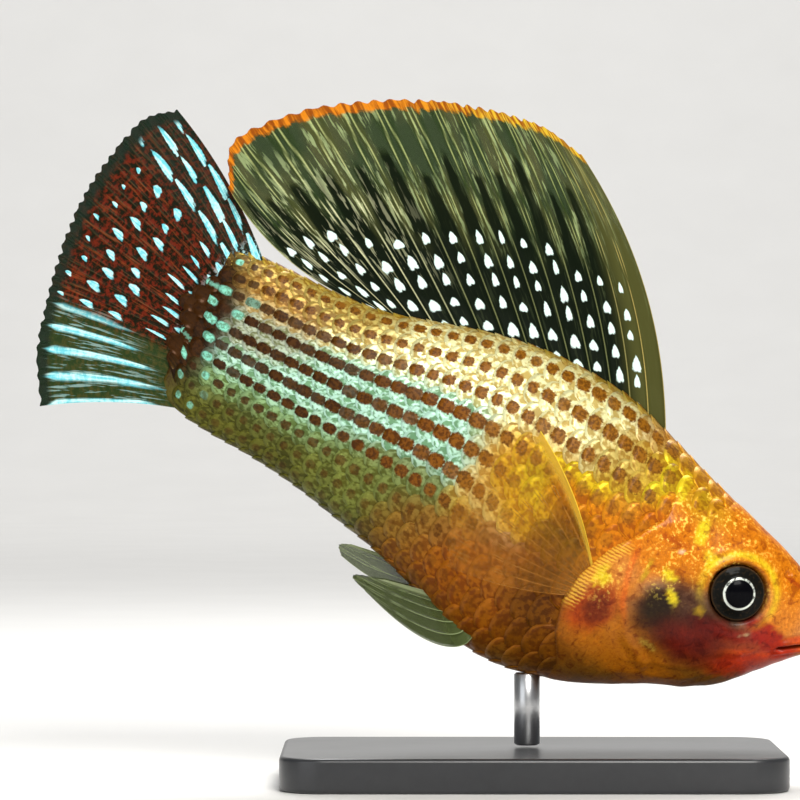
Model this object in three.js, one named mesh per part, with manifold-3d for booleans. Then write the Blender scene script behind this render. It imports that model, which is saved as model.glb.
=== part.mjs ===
// A male sailfin molly, life size, held nose-down over a plain stand, as a museum shows a small fish.
// Millimetres, +Z up, head towards +X, right flank towards -Y. The origin is the middle of the underside
// of the stand. The fish is drawn level in its own frame, with x 0 at the tip of the upper lip and z 0 at
// the level of the mouth, and then tipped and set over the stand by the group that holds it.
import * as THREE from "three";
import { mergeVertices } from "three/addons/utils/BufferGeometryUtils.js";
import Module from "manifold-3d";

const wasm = await Module();
wasm.setup();

// Pose and joints between pieces
const PITCH = THREE.MathUtils.degToRad(28);
const GAP = 0.3;
const SNOUT_X = 33;
const SNOUT_Z = 16.5;
// A length that is well clear of the fish on every side
const FAR = 40;

// The stand
const BASE_LENGTH = 58;
const BASE_WIDTH = 34;
const BASE_HEIGHT = 4;
const BASE_CORNER = 5;
const BASE_BEVEL = 0.5;
const BASE_CORNER_STEPS = 5;
const ROD_RADIUS = 1.5;
const ROD_X = -0.5;
const ROD_SIDES = 20;
const ROD_HEIGHT = 34;

// Sections of the body from the lips to the root of the tail fin:
// x, top, bottom, half width, level of the widest part, squareness above it and below it
const SECTIONS = [
  [0.7, -0.4, -0.5, 0.05, -0.45, 2.2, 2.2],
  [0.45, 0.55, -1.2, 1.5, -0.4, 2.3, 2.2],
  [-0.5, 2.0, -2.1, 2.3, -0.3, 2.4, 2.2],
  [-2.2, 4.1, -3.8, 3.1, 0.0, 2.5, 2.1],
  [-4.6, 6.2, -6.5, 4.2, 0.3, 2.6, 2.0],
  [-7.5, 7.55, -9.7, 5.2, 0.5, 2.6, 2.0],
  [-11.0, 8.6, -11.9, 6.1, 0.4, 2.6, 2.0],
  [-15.5, 9.95, -13.9, 6.8, -0.6, 2.4, 2.0],
  [-20.5, 11.45, -16.65, 7.4, -2.0, 2.2, 2.0],
  [-26.0, 13.2, -18.75, 7.8, -3.2, 2.0, 2.0],
  [-32.0, 14.9, -19.9, 8.0, -3.8, 1.9, 2.0],
  [-38.0, 15.4, -19.3, 7.8, -3.6, 1.85, 1.95],
  [-44.0, 15.1, -16.7, 7.3, -2.8, 1.85, 1.9],
  [-50.0, 14.0, -14.9, 6.6, -2.0, 1.85, 1.9],
  [-56.0, 12.2, -13.7, 5.7, -1.5, 1.85, 1.9],
  [-62.0, 10.4, -12.6, 4.8, -1.1, 1.9, 1.9],
  [-68.0, 9.6, -12.0, 3.8, -0.9, 1.9, 1.9],
  [-74.0, 9.4, -11.8, 2.8, -0.7, 2.0, 2.0],
  [-79.0, 9.1, -11.1, 1.5, -0.4, 2.0, 2.0],
  [-81.2, 8.4, -9.0, 0.6, -0.3, 2.0, 2.0],
];
const SNOUT_RINGS = 7;
const SNOUT_END = -2.2;
const SNOUT_START = 0.03;
const SNOUT_EASE = 1.6;
const HEAD_STEP = 1.35;
const HEAD_END = -29;
const TRUNK_STEP = 3;
const RING_SIDES = 36;

// Where the gill cover ends, and with it the head: x, z down the side of the fish
const GILL_EDGE = [
  [-24.0, 16.0],
  [-22.6, 9.0],
  [-22.4, 4.5],
  [-24.4, 1.2],
  [-26.6, -2.2],
  [-28.1, -6.0],
  [-28.5, -9.5],
  [-27.5, -13.2],
  [-25.4, -16.4],
  [-24.6, -22.0],
];
// Where the tail starts, behind the last ray of the sail
const TAIL_X = -66;

// The head's own forms. Lines run over the skin in the side view as x, z.
const EYE_X = -11.0;
const EYE_Z = 0.6;
const EYE_RADIUS = 3.15;
const EYE_BULGE = 1.15;
const EYE_SINK = 2.1;
const EYE_TURN = THREE.MathUtils.degToRad(9);
const EYE_SIDES = 20;
const EYE_DOME_STEPS = 5;
const EYE_SEAT = -0.15;
// The hidden back of an eye: share of its radius, share of its depth
const EYE_BACK = [
  [0.94, 0.55],
  [0.6, 1],
];
const ORBIT_RIM = 3.85;
const ORBIT_THICK = 0.62;
const ORBIT_SEAT = -0.1;
const ORBIT_SIDES = 6;
const ORBIT_STEPS = 22;
const MOUTH_CORNER = [-3.7, -2.9];
const MOUTH_FRONT = [0.55, -0.45];
// How the mouth runs back from its front, and how it falls to its corners
const MOUTH_BEND = 1.7;
const MOUTH_DROOP = 1.3;
const MOUTH_OPEN = 0.34;
const MOUTH_PINCH = 0.4;
const MOUTH_MIDDLE_X = -4;
const MOUTH_OUT = 2;
const MOUTH_DEEP = -1.1;
const LIP_THICK = 0.85;
const LIP_LIFTS = [0.42, -0.48];
const LIP_MEET = 0.6;
const LIP_STEPS = 16;
const LIP_SIDES = 6;
const NOSTRILS = [
  [-3.2, 4.3, 0.34],
  [-6.6, 5.3, 0.42],
];
const CHEEK_RIDGE = [
  [-23.9, 1.2],
  [-23.4, -3.0],
  [-22.2, -6.6],
  [-20.2, -9.8],
  [-16.6, -11.9],
];
const CHEEK_RIDGE_THICK = 0.5;
const CHEEK_RIDGE_LIFT = 0.05;
const CHEEK_RIDGE_SIDES = 5;
const CHEEK_RIDGE_STEPS = 8;
// The gill cover stands a little proud of the head and laps over the shoulder behind it
const FLAP_LIFT = 0.35;
const FLAP_THICK = 0.6;
const FLAP_LAP = 2.0;
const FLAP_TOP = 7.0;
const FLAP_BOTTOM = -15.5;
const FLAP_BLEND = 2.0;
// How far ahead of the gill cover's edge its lift starts and is full
const FLAP_RISE = [5, 0.5];
// The cut between the head and the shoulder: its levels, its least width, its lap and the body's middle
const GILL_LEVELS = { top: 22, bottom: -24, step: 2 };
const GILL_LEAST_WIDTH = 1.8;
const GILL_SLOPE = 0.5;
const GILL_MIDDLE = 0.05;

const smoothStep = (low, high, value) => {
  const share = THREE.MathUtils.clamp((value - low) / (high - low), 0, 1);
  return share * share * (3 - 2 * share);
};

// A smooth curve through evenly spaced rows of numbers, read at a row number that may lie between rows
function between(rows, at) {
  const last = rows.length - 1;
  const index = Math.min(Math.floor(at), last - 1);
  const share = at - index;
  const before = rows[Math.max(index - 1, 0)];
  const after = rows[Math.min(index + 2, last)];
  return rows[index].map((value, column) => {
    const next = rows[index + 1][column];
    const leave = (next - before[column]) / (index > 0 ? 2 : 1);
    const arrive = (after[column] - value) / (index + 2 <= last ? 2 : 1);
    const square = share * share;
    const cube = square * share;
    return (
      value * (2 * cube - 3 * square + 1) +
      leave * (cube - 2 * square + share) +
      next * (3 * square - 2 * cube) +
      arrive * (cube - square)
    );
  });
}

// The row number at which a falling first column reaches x
function rowAt(rows, x) {
  let low = 0;
  let high = rows.length - 1;
  for (let turn = 0; turn < 40; turn++) {
    const middle = (low + high) / 2;
    if (between(rows, middle)[0] > x) low = middle;
    else high = middle;
  }
  return (low + high) / 2;
}

// x of a line that falls in z, at one level
function lineX(line, z) {
  for (let i = 0; i + 1 < line.length; i++) {
    const [ax, az] = line[i];
    const [bx, bz] = line[i + 1];
    if (z <= az && z >= bz) return ax + ((bx - ax) * (az - z)) / (az - bz);
  }
  return z > line[0][1] ? line[0][0] : line[line.length - 1][0];
}

// How much of the gill cover's flap there is at a level of the side view
const flapShare = (z) =>
  smoothStep(FLAP_TOP + FLAP_BLEND, FLAP_TOP - FLAP_BLEND, z) *
  smoothStep(FLAP_BOTTOM - FLAP_BLEND, FLAP_BOTTOM + FLAP_BLEND, z);

// How far the gill cover lifts off the plain section
function flapLift(x, z) {
  const ahead = x - lineX(GILL_EDGE, z);
  return FLAP_LIFT * flapShare(z) * smoothStep(...FLAP_RISE, ahead);
}

// A point of the body's surface: how far round is 0 at the back and a half turn at the belly
function skinPoint(x, turn, grow, relief) {
  const [, top, bottom, half, level, above, below] = between(
    SECTIONS,
    rowAt(SECTIONS, x),
  );
  const up = Math.cos(turn);
  const out = Math.sin(turn);
  const power = 2 / (up > 0 ? above : below);
  const reach = up > 0 ? top - level : level - bottom;
  const y = half * Math.sign(out) * Math.abs(out) ** power;
  const z = level + reach * Math.sign(up) * Math.abs(up) ** power;
  const normal = new THREE.Vector2(
    y / (half * half + 1e-6),
    (z - level) / (reach * reach + 1e-6),
  ).normalize();
  const push = grow + (relief ? flapLift(x, z) : 0);
  return new THREE.Vector3(x, y + normal.x * push, z + normal.y * push);
}

function ringPlaces() {
  const places = [];
  const tip = SECTIONS[0][0];
  for (let i = 0; i < SNOUT_RINGS; i++) {
    const share = i / SNOUT_RINGS;
    const along = THREE.MathUtils.lerp(SNOUT_START, 1, share ** SNOUT_EASE);
    places.push(THREE.MathUtils.lerp(tip, SNOUT_END, along));
  }
  for (let x = SNOUT_END; x > HEAD_END; x -= HEAD_STEP) places.push(x);
  const end = SECTIONS[SECTIONS.length - 1][0];
  const count = Math.round((HEAD_END - end) / TRUNK_STEP);
  for (let i = 0; i <= count; i++)
    places.push(HEAD_END + ((end - HEAD_END) * i) / count);
  return places;
}

// Joins rings of points into one closed surface, with a point at each end
function closedLoft(rings) {
  const sides = rings[0].length;
  const points = rings.flat();
  const middles = [rings[0], rings[rings.length - 1]].map((ring) =>
    ring
      .reduce((sum, point) => sum.add(point), new THREE.Vector3())
      .divideScalar(sides),
  );
  points.push(...middles);
  const faces = [];
  for (let i = 0; i + 1 < rings.length; i++)
    for (let j = 0; j < sides; j++) {
      const next = (j + 1) % sides;
      const [a, b] = [i * sides + j, i * sides + next];
      faces.push(a, b, b + sides, a, b + sides, a + sides);
    }
  const first = rings.length * sides;
  const lastRing = first - sides;
  for (let j = 0; j < sides; j++) {
    const next = (j + 1) % sides;
    faces.push(first, next, j);
    faces.push(first + 1, lastRing + j, lastRing + next);
  }
  return surfaceOf(points, faces);
}

function surfaceOf(points, faces) {
  return new THREE.BufferGeometry()
    .setAttribute(
      "position",
      new THREE.Float32BufferAttribute(
        points.flatMap((p) => p.toArray()),
        3,
      ),
    )
    .setIndex(faces);
}

// A closed surface as a solid that can be joined and cut, turned to face outwards
function solidOf(geometry) {
  const bare = geometry.clone();
  bare.deleteAttribute("normal");
  bare.deleteAttribute("uv");
  const merged = mergeVertices(bare, 1e-4);
  const build = (triVerts) =>
    new wasm.Manifold(
      new wasm.Mesh({
        numProp: 3,
        vertProperties: new Float32Array(merged.attributes.position.array),
        triVerts,
      }),
    );
  const faces = new Uint32Array(merged.index.array);
  const made = build(faces);
  return made.volume() > 0 ? made : build(faces.reverse());
}

// The largest closed piece of a solid
function largest(solid) {
  return solid
    .decompose()
    .reduce((best, piece) => (piece.volume() > best.volume() ? piece : best));
}

function geometryOf(solid) {
  const mesh = solid.getMesh();
  const places = [];
  for (let i = 0; i < mesh.numVert; i++)
    places.push(...mesh.vertProperties.subarray(i * mesh.numProp, i * mesh.numProp + 3));
  return new THREE.BufferGeometry()
    .setAttribute("position", new THREE.Float32BufferAttribute(places, 3))
    .setIndex([...mesh.triVerts]);
}

// The body whole, with or without the head's relief, and grown by a gap where neighbours are cut clear of it
function bodySolid(grow, relief) {
  const rings = ringPlaces().map((x, row) =>
    Array.from({ length: RING_SIDES }, (_, side) =>
      skinPoint(x, (2 * Math.PI * side) / RING_SIDES, row === 0 ? 0 : grow, relief),
    ),
  );
  return solidOf(closedLoft(rings));
}

function eyeProfile(grow) {
  const rim = EYE_RADIUS + grow;
  const domeRadius = (rim * rim + EYE_BULGE * EYE_BULGE) / (2 * EYE_BULGE);
  const domeAngle = Math.asin(rim / domeRadius);
  const points = [];
  for (let i = 0; i <= EYE_DOME_STEPS; i++) {
    const angle = (domeAngle * i) / EYE_DOME_STEPS;
    points.push([
      domeRadius * Math.sin(angle),
      domeRadius * Math.cos(angle) - domeRadius + EYE_BULGE + grow,
    ]);
  }
  const depth = EYE_SINK + grow;
  for (const [wide, deep] of EYE_BACK) points.push([rim * wide, -depth * deep]);
  points.push([0, -depth]);
  points[0][0] = 0;
  return points.map(([radius, height]) => new THREE.Vector2(radius, height));
}

// Sets a form that was made facing up the Y axis in place of an eye: side is -1 on the right, 1 on the left
function atEye(form, side, lift) {
  const flank = skinPoint(EYE_X, Math.PI / 2, 0, false).y + lift;
  if (side < 0) form.rotateX(Math.PI);
  return form.rotateZ(-side * EYE_TURN).translate(EYE_X, side * flank, EYE_Z);
}

function eyeSolid(side, grow) {
  const lens = new THREE.LatheGeometry(eyeProfile(grow).reverse(), EYE_SIDES);
  return solidOf(atEye(lens, side, EYE_SEAT));
}

// The raised ring of skin round an eye
function orbitRim(side) {
  const thick = ORBIT_THICK / 2;
  const ring = new THREE.TorusGeometry(ORBIT_RIM, thick, ORBIT_SIDES, ORBIT_STEPS);
  return solidOf(atEye(ring.rotateX(Math.PI / 2), side, ORBIT_SEAT));
}

// The point of the skin on one side at x and a level of the side view
function skinAt(x, z, side, grow = 0) {
  const [, top, bottom, , level, above, below] = between(SECTIONS, rowAt(SECTIONS, x));
  const rise = z > level ? (z - level) / (top - level) : (z - level) / (level - bottom);
  const power = (z > level ? above : below) / 2;
  const up = Math.sign(rise) * Math.min(Math.abs(rise), 1) ** power;
  const point = skinPoint(x, Math.acos(up), grow, false);
  return point.setY(side * point.y);
}

// The line on which the lips meet, from the corner on the right round the snout to the corner on the left
function mouthCurve(lift) {
  const places = [];
  for (let i = 0; i <= LIP_STEPS; i++) {
    const share = (2 * i) / LIP_STEPS - 1;
    const back = Math.abs(share) ** MOUTH_BEND;
    const x = THREE.MathUtils.lerp(MOUTH_FRONT[0], MOUTH_CORNER[0], back);
    const z = THREE.MathUtils.lerp(MOUTH_FRONT[1], MOUTH_CORNER[1], back ** MOUTH_DROOP);
    const point = skinAt(x, z, Math.sign(share));
    point.z += lift * (1 - LIP_MEET * back);
    places.push(share === 0 ? point.setY(0) : point);
  }
  return places;
}

// A soft round bead laid along a line of points and thinned to its ends
const BEAD_LEAD = 0.6;
const BEAD_FULL = 0.35;
function bead(places, thick, sides, steps) {
  const curve = new THREE.CatmullRomCurve3(places);
  const tube = new THREE.TubeGeometry(curve, steps, thick / 2, sides, false);
  const at = tube.attributes.position;
  const rings = [];
  for (let i = 0; i <= steps; i++) {
    const middle = curve.getPointAt(i / steps);
    const share = (i + BEAD_LEAD) / (steps + 2 * BEAD_LEAD);
    const full = Math.sin(Math.PI * share) ** BEAD_FULL;
    const ring = [];
    for (let j = 0; j < sides; j++) {
      const point = new THREE.Vector3().fromBufferAttribute(at, i * (sides + 1) + j);
      ring.push(point.sub(middle).multiplyScalar(full).add(middle));
    }
    rings.push(ring);
  }
  return solidOf(closedLoft(rings));
}

// The slit between the lips
function mouthSlit() {
  const line = mouthCurve(0);
  const half = MOUTH_OPEN / 2;
  const rings = line.map((point, i) => {
    const middle = new THREE.Vector3(MOUTH_MIDDLE_X, 0, 0);
    const out = point.clone().setZ(0).sub(middle).normalize();
    const open = i === 0 || i === line.length - 1 ? half * MOUTH_PINCH : half;
    const outer = point.clone().addScaledVector(out, MOUTH_OUT);
    const inner = point.clone().addScaledVector(out, MOUTH_DEEP);
    return [
      outer.clone().setZ(point.z + open),
      inner.clone().setZ(point.z + open),
      inner.clone().setZ(point.z - open),
      outer.clone().setZ(point.z - open),
    ];
  });
  return solidOf(closedLoft(rings));
}

function nostrilPits() {
  return [-1, 1].flatMap((side) =>
    NOSTRILS.map(([x, z, radius]) => {
      const pit = new THREE.IcosahedronGeometry(radius, 1);
      return solidOf(pit.translate(...skinAt(x, z, side).toArray()));
    }),
  );
}

// All that lies ahead of the gill opening. Under the skin the opening runs forward below the flap.
function gillRoom(behind) {
  const { top, bottom, step: drop } = GILL_LEVELS;
  const levels = [];
  for (let z = top; z >= bottom; z -= drop) levels.push(z);
  const rings = levels.map((z) => {
    const edge = lineX(GILL_EDGE, z);
    const wide = Math.max(Math.abs(skinAt(edge, z, 1).y), GILL_LEAST_WIDTH);
    const lap = FLAP_LAP * flapShare(z);
    const step = wide - FLAP_THICK - behind;
    const line = [
      [FAR, edge - behind],
      [step, edge - behind],
      [step - GILL_SLOPE, edge - behind + lap],
      [GILL_MIDDLE, edge - behind + lap],
    ];
    const right = line.map(([y, x]) => new THREE.Vector3(x, -y, z));
    const left = line.map(([y, x]) => new THREE.Vector3(x, y, z)).reverse();
    return [
      ...right,
      ...left,
      new THREE.Vector3(FAR, FAR, z),
      new THREE.Vector3(FAR, -FAR, z),
    ];
  });
  return solidOf(closedLoft(rings));
}

function headSolid() {
  let head = bodySolid(0, true);
  for (const side of [-1, 1]) {
    const ridge = CHEEK_RIDGE.map(([x, z]) => skinAt(x, z, side, CHEEK_RIDGE_LIFT));
    head = head.add(bead(ridge, CHEEK_RIDGE_THICK, CHEEK_RIDGE_SIDES, CHEEK_RIDGE_STEPS));
    head = head.add(orbitRim(side));
  }
  for (const lift of LIP_LIFTS)
    head = head.add(bead(mouthCurve(lift), LIP_THICK, LIP_SIDES, LIP_STEPS));
  head = head.intersect(gillRoom(0)).subtract(mouthSlit());
  for (const side of [-1, 1]) head = head.subtract(eyeSolid(side, GAP));
  for (const pit of nostrilPits()) head = head.subtract(pit);
  return largest(head);
}

// The part of a solid that lies between two places along the fish
function sliceOf(solid, fromX, toX) {
  const length = fromX - toX;
  const room = new THREE.BoxGeometry(length, 2 * FAR, 2 * FAR);
  return solid.intersect(solidOf(room.translate(toX + length / 2, 0, 0)));
}

// A fin as rays that leave a base line and end on an outer margin. t runs from the first ray to the last, and
// r from the root to the margin. bulge bows each ray forwards, with skew below 1 nearer to its root, and sway
// leans it across the fish.
const SAIL = {
  rays: 16,
  rows: 9,
  base: [
    [-26.6, 13.0],
    [-31.5, 14.0],
    [-36.5, 14.5],
    [-41.5, 14.4],
    [-46.5, 13.8],
    [-51.5, 12.6],
    [-56.5, 11.1],
    [-60.5, 10.2],
    [-63.5, 9.9],
  ],
  margin: [
    [-50.5, 37.1],
    [-55.6, 37.9],
    [-60.2, 37.3],
    [-65.3, 35.9],
    [-70.2, 33.9],
    [-76.0, 30.6],
    [-82.0, 26.0],
    [-86.9, 19.6],
    [-84.9, 14.4],
  ],
  bulge: [[2.6], [2.2], [1.4], [0.8], [0.5], [0.2], [-0.1], [-0.8], [-2.0]],
  skew: 1,
  sway: (t, r) => -1.5 * t * t * r * r + 0.5 * Math.sin(Math.PI * t) * r,
  root: 1.5,
  membrane: 0.5,
  ridge: 0.2,
  edge: 0.34,
  scallop: 0.4,
};
const TAIL_FIN = {
  rays: 16,
  rows: 7,
  base: [
    [-77.4, 8.9],
    [-78.6, 6.6],
    [-79.3, 4.2],
    [-79.7, 1.8],
    [-79.8, -0.6],
    [-79.6, -3.0],
    [-79.0, -5.4],
    [-78.0, -7.8],
    [-75.8, -10.3],
  ],
  margin: [
    [-94.6, 19.7],
    [-97.6, 16.8],
    [-98.9, 11.8],
    [-99.5, 6.9],
    [-99.3, 2.0],
    [-98.5, -2.9],
    [-97.3, -7.8],
    [-95.7, -12.8],
    [-92.3, -18.3],
  ],
  bulge: [[0.9], [0.7], [0.5], [0.3], [0], [0.2], [0.4], [0.6], [0.8]],
  skew: 1,
  sway: (t, r) => 1.3 * Math.cos(Math.PI * t) * r * r + 0.5 * r,
  root: 1.3,
  membrane: 0.5,
  ridge: 0.18,
  edge: 0.34,
  scallop: 0.3,
};
const SIDE_FIN = {
  rays: 11,
  rows: 5,
  base: [
    [-27.2, -4.6],
    [-28.0, -6.4],
    [-28.0, -8.6],
  ],
  margin: [
    [-39.9, 6.4],
    [-43.9, -0.2],
    [-44.6, -6.4],
    [-42.2, -12.2],
  ],
  bulge: [[0.9], [0.2], [-0.2], [-0.7]],
  skew: 1,
  sway: (t, r) => -7.4 - 5.0 * r + 1.5 * r * r + 0.7 * t * r,
  root: 0.8,
  membrane: 0.5,
  ridge: 0.12,
  edge: 0.34,
  scallop: 0.25,
};
const BELLY_FIN = {
  rays: 6,
  rows: 6,
  base: [
    [-41.2, -15.9],
    [-38.4, -16.8],
    [-35.4, -18.2],
  ],
  margin: [
    [-47.6, -17.3],
    [-51.0, -18.6],
    [-48.9, -19.4],
  ],
  bulge: [[0.1], [-1.0], [-2.5]],
  skew: 0.6,
  sway: (t, r) => -2.5 + 0.7 * r - 0.3 * t * (1 - r),
  root: 0.9,
  membrane: 0.5,
  ridge: 0.12,
  edge: 0.34,
  scallop: 0.1,
};
const GONOPODIUM = {
  rays: 4,
  rows: 7,
  base: [
    [-45.8, -14.4],
    [-44.2, -15.0],
    [-42.2, -15.7],
  ],
  margin: [
    [-52.9, -15.5],
    [-54.1, -16.2],
    [-53.3, -17.2],
  ],
  bulge: [[0.1], [-0.5], [-1.5]],
  skew: 0.7,
  sway: () => 0,
  root: 1.2,
  membrane: 0.8,
  ridge: 0.14,
  edge: 0.5,
  scallop: 0.05,
};

// Half the width of a ray in gaps between rays, and where a fin's sheet thins at its root and its margin
const RAY_FLANK = 0.26;
const RAY_FADE = 0.75;
const ROOT_SHARE = 0.3;
const MARGIN_START = 0.93;
const NORMAL_STEP = 0.01;

// The middle of a fin at t and r
function finPoint(fin, t, r) {
  const spread = (rows) => between(rows, t * (rows.length - 1));
  const [baseX, baseZ] = spread(fin.base);
  const [tipX, tipZ] = spread(fin.margin);
  const [bulge] = spread(fin.bulge);
  const length = Math.hypot(tipX - baseX, tipZ - baseZ);
  const across = [-(tipZ - baseZ) / length, (tipX - baseX) / length];
  const bow = r ** fin.skew;
  const share = 4 * bow * (1 - bow) * bulge;
  return new THREE.Vector3(
    baseX + (tipX - baseX) * r - across[0] * share,
    fin.sway(t, r),
    baseZ + (tipZ - baseZ) * r - across[1] * share,
  );
}

function finNormal(fin, t, r) {
  const step = NORMAL_STEP;
  const alongRay = finPoint(fin, t, Math.min(r + step, 1)).sub(
    finPoint(fin, t, Math.max(r - step, 0)),
  );
  const acrossRays = finPoint(fin, Math.min(t + step, 1), r).sub(
    finPoint(fin, Math.max(t - step, 0), r),
  );
  const normal = alongRay.cross(acrossRays).normalize();
  return normal.y < 0 ? normal.negate() : normal;
}

// How near t is to a ray: 1 on it and 0 halfway between two
function onRay(fin, t) {
  const phase = t * (fin.rays - 1);
  const off = Math.abs(phase - Math.round(phase));
  return Math.max(0, 1 - off / (2 * RAY_FLANK));
}

function finHalfThickness(fin, t, r) {
  const sheet = THREE.MathUtils.lerp(fin.root, fin.membrane, smoothStep(0, ROOT_SHARE, r));
  const thin = THREE.MathUtils.lerp(sheet, fin.edge, smoothStep(MARGIN_START, 1, r));
  const ray = fin.ridge * onRay(fin, t) ** 2 * (1 - RAY_FADE * r);
  return thin / 2 + ray;
}

// A fin as one thin closed sheet with a ridge on each ray, its two faces split alike
function finSolid(fin) {
  const columns = [];
  for (let ray = 0; ray + 1 < fin.rays; ray++)
    for (const part of [0, RAY_FLANK, 1 - RAY_FLANK])
      columns.push((ray + part) / (fin.rays - 1));
  columns.push(1);
  const wide = columns.length;
  const faceOf = (side) => {
    const points = [];
    for (let row = 0; row <= fin.rows; row++)
      for (const t of columns) {
        const r = row / fin.rows;
        const phase = t * (fin.rays - 1);
        const hollow = Math.sin(Math.PI * (phase - Math.floor(phase)));
        const length = finPoint(fin, t, 1).distanceTo(finPoint(fin, t, 0));
        const held = r * (1 - (r * r * fin.scallop * hollow) / length);
        const half = finHalfThickness(fin, t, r);
        points.push(
          finPoint(fin, t, held).addScaledVector(finNormal(fin, t, held), side * half),
        );
      }
    return points;
  };
  const points = [...faceOf(1), ...faceOf(-1)];
  const back = points.length / 2;
  const faces = [];
  for (let row = 0; row < fin.rows; row++)
    for (let column = 0; column + 1 < wide; column++) {
      const a = row * wide + column;
      const quad = [a, a + 1, a + wide + 1, a, a + wide + 1, a + wide];
      faces.push(...quad);
      faces.push(...quad.map((v) => v + back).reverse());
    }
  const rim = [];
  for (let column = 0; column + 1 < wide; column++) rim.push(column);
  for (let row = 0; row < fin.rows; row++) rim.push(row * wide + wide - 1);
  for (let column = wide - 1; column > 0; column--) rim.push(fin.rows * wide + column);
  for (let row = fin.rows; row > 0; row--) rim.push(row * wide);
  rim.forEach((a, i) => {
    const b = rim[(i + 1) % rim.length];
    faces.push(b, a, a + back, b, a + back, b + back);
  });
  return solidOf(surfaceOf(points, faces));
}

const mirrored = (solid) => solid.mirror([0, 1, 0]);

// The stand: a flat plate with eased edges, and a rod that ends in the hollow of the belly
function baseGeometry() {
  const [length, width] = [BASE_LENGTH / 2, BASE_WIDTH / 2];
  const inner = BASE_CORNER;
  const outline = new THREE.Shape();
  outline.moveTo(length - inner, -width);
  outline.absarc(length - inner, -width + inner, inner, -Math.PI / 2, 0, false);
  outline.absarc(length - inner, width - inner, inner, 0, Math.PI / 2, false);
  outline.absarc(-length + inner, width - inner, inner, Math.PI / 2, Math.PI, false);
  outline.absarc(-length + inner, -width + inner, inner, Math.PI, 1.5 * Math.PI, false);
  outline.closePath();
  const plate = new THREE.ExtrudeGeometry(outline, {
    depth: BASE_HEIGHT - 2 * BASE_BEVEL,
    bevelThickness: BASE_BEVEL,
    bevelSize: BASE_BEVEL,
    bevelOffset: -BASE_BEVEL,
    bevelSegments: 1,
    curveSegments: BASE_CORNER_STEPS,
  });
  return plate.translate(0, 0, BASE_BEVEL);
}

// From the fish's own frame to the part's frame
const POSE = new THREE.Matrix4()
  .makeTranslation(SNOUT_X, 0, SNOUT_Z)
  .multiply(new THREE.Matrix4().makeRotationY(PITCH));

function rodSolid(grownBody) {
  const middle = BASE_HEIGHT + GAP + ROD_HEIGHT / 2;
  const rod = new THREE.CylinderGeometry(ROD_RADIUS, ROD_RADIUS, ROD_HEIGHT, ROD_SIDES);
  rod.rotateX(Math.PI / 2).translate(ROD_X, 0, middle);
  const posedBody = solidOf(geometryOf(grownBody).applyMatrix4(POSE));
  const pieces = solidOf(rod).subtract(posedBody).decompose();
  return pieces.reduce((low, piece) =>
    piece.boundingBox().min[2] < low.boundingBox().min[2] ? piece : low,
  );
}

const finish = (color, roughness, metalness = 0) =>
  new THREE.MeshStandardMaterial({ color, roughness, metalness });
const MATERIALS = {
  head: finish(0xc9701c, 0.35, 0.15),
  scales: finish(0xb9b184, 0.35, 0.2),
  sail: finish(0x2e3a26, 0.45),
  tailFin: finish(0x4a2a1c, 0.45),
  clearFin: finish(0x8f8a4e, 0.4),
  eye: finish(0x0b0c0e, 0.08),
  stand: finish(0x1c1d20, 0.3),
  rod: finish(0xb8bcc0, 0.25, 1),
};

const fish = new THREE.Group();
POSE.decompose(fish.position, fish.quaternion, fish.scale);
const root = new THREE.Group();
root.add(fish);

function add(parent, name, geometry, material) {
  const mesh = new THREE.Mesh(geometry, material);
  mesh.name = name;
  parent.add(mesh);
}
const addSolid = (name, solid, material) =>
  add(fish, name, geometryOf(largest(solid)), material);

const plainBody = bodySolid(0, false);
const grownBody = bodySolid(GAP, false);
const grownHead = bodySolid(GAP, true).intersect(gillRoom(GAP));
const BODY_END = SECTIONS[SECTIONS.length - 1][0] - GAP;

addSolid("head", headSolid(), MATERIALS.head);
addSolid(
  "torso",
  sliceOf(plainBody, FAR, TAIL_X).subtract(gillRoom(GAP)),
  MATERIALS.scales,
);
addSolid("tail", sliceOf(plainBody, TAIL_X - GAP, BODY_END), MATERIALS.scales);
for (const [name, side] of [
  ["eye_right", -1],
  ["eye_left", 1],
])
  addSolid(name, eyeSolid(side, 0), MATERIALS.eye);

const clear = (solid) => largest(solid.subtract(grownBody).subtract(grownHead));
addSolid("dorsal_fin", clear(finSolid(SAIL)), MATERIALS.sail);
addSolid("caudal_fin", clear(finSolid(TAIL_FIN)), MATERIALS.tailFin);
const sideFin = clear(finSolid(SIDE_FIN));
const bellyFin = clear(finSolid(BELLY_FIN));
addSolid("pectoral_fin_right", sideFin, MATERIALS.clearFin);
addSolid("pectoral_fin_left", mirrored(sideFin), MATERIALS.clearFin);
addSolid("pelvic_fin_right", bellyFin, MATERIALS.clearFin);
addSolid("pelvic_fin_left", mirrored(bellyFin), MATERIALS.clearFin);
addSolid("anal_fin", clear(finSolid(GONOPODIUM)), MATERIALS.clearFin);

add(root, "stand_base", baseGeometry(), MATERIALS.stand);
add(root, "stand_rod", geometryOf(rodSolid(grownBody)), MATERIALS.rod);

export default root;
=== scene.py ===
"""The looks of a male sailfin molly on its stand: skin, scales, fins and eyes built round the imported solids.

Lengths are millimetres in the fish's own level frame, with x 0 at the upper lip's tip and z 0 at the mouth, until
posed() tips the fish and puts it over the stand in metres.
"""
import math

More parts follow.
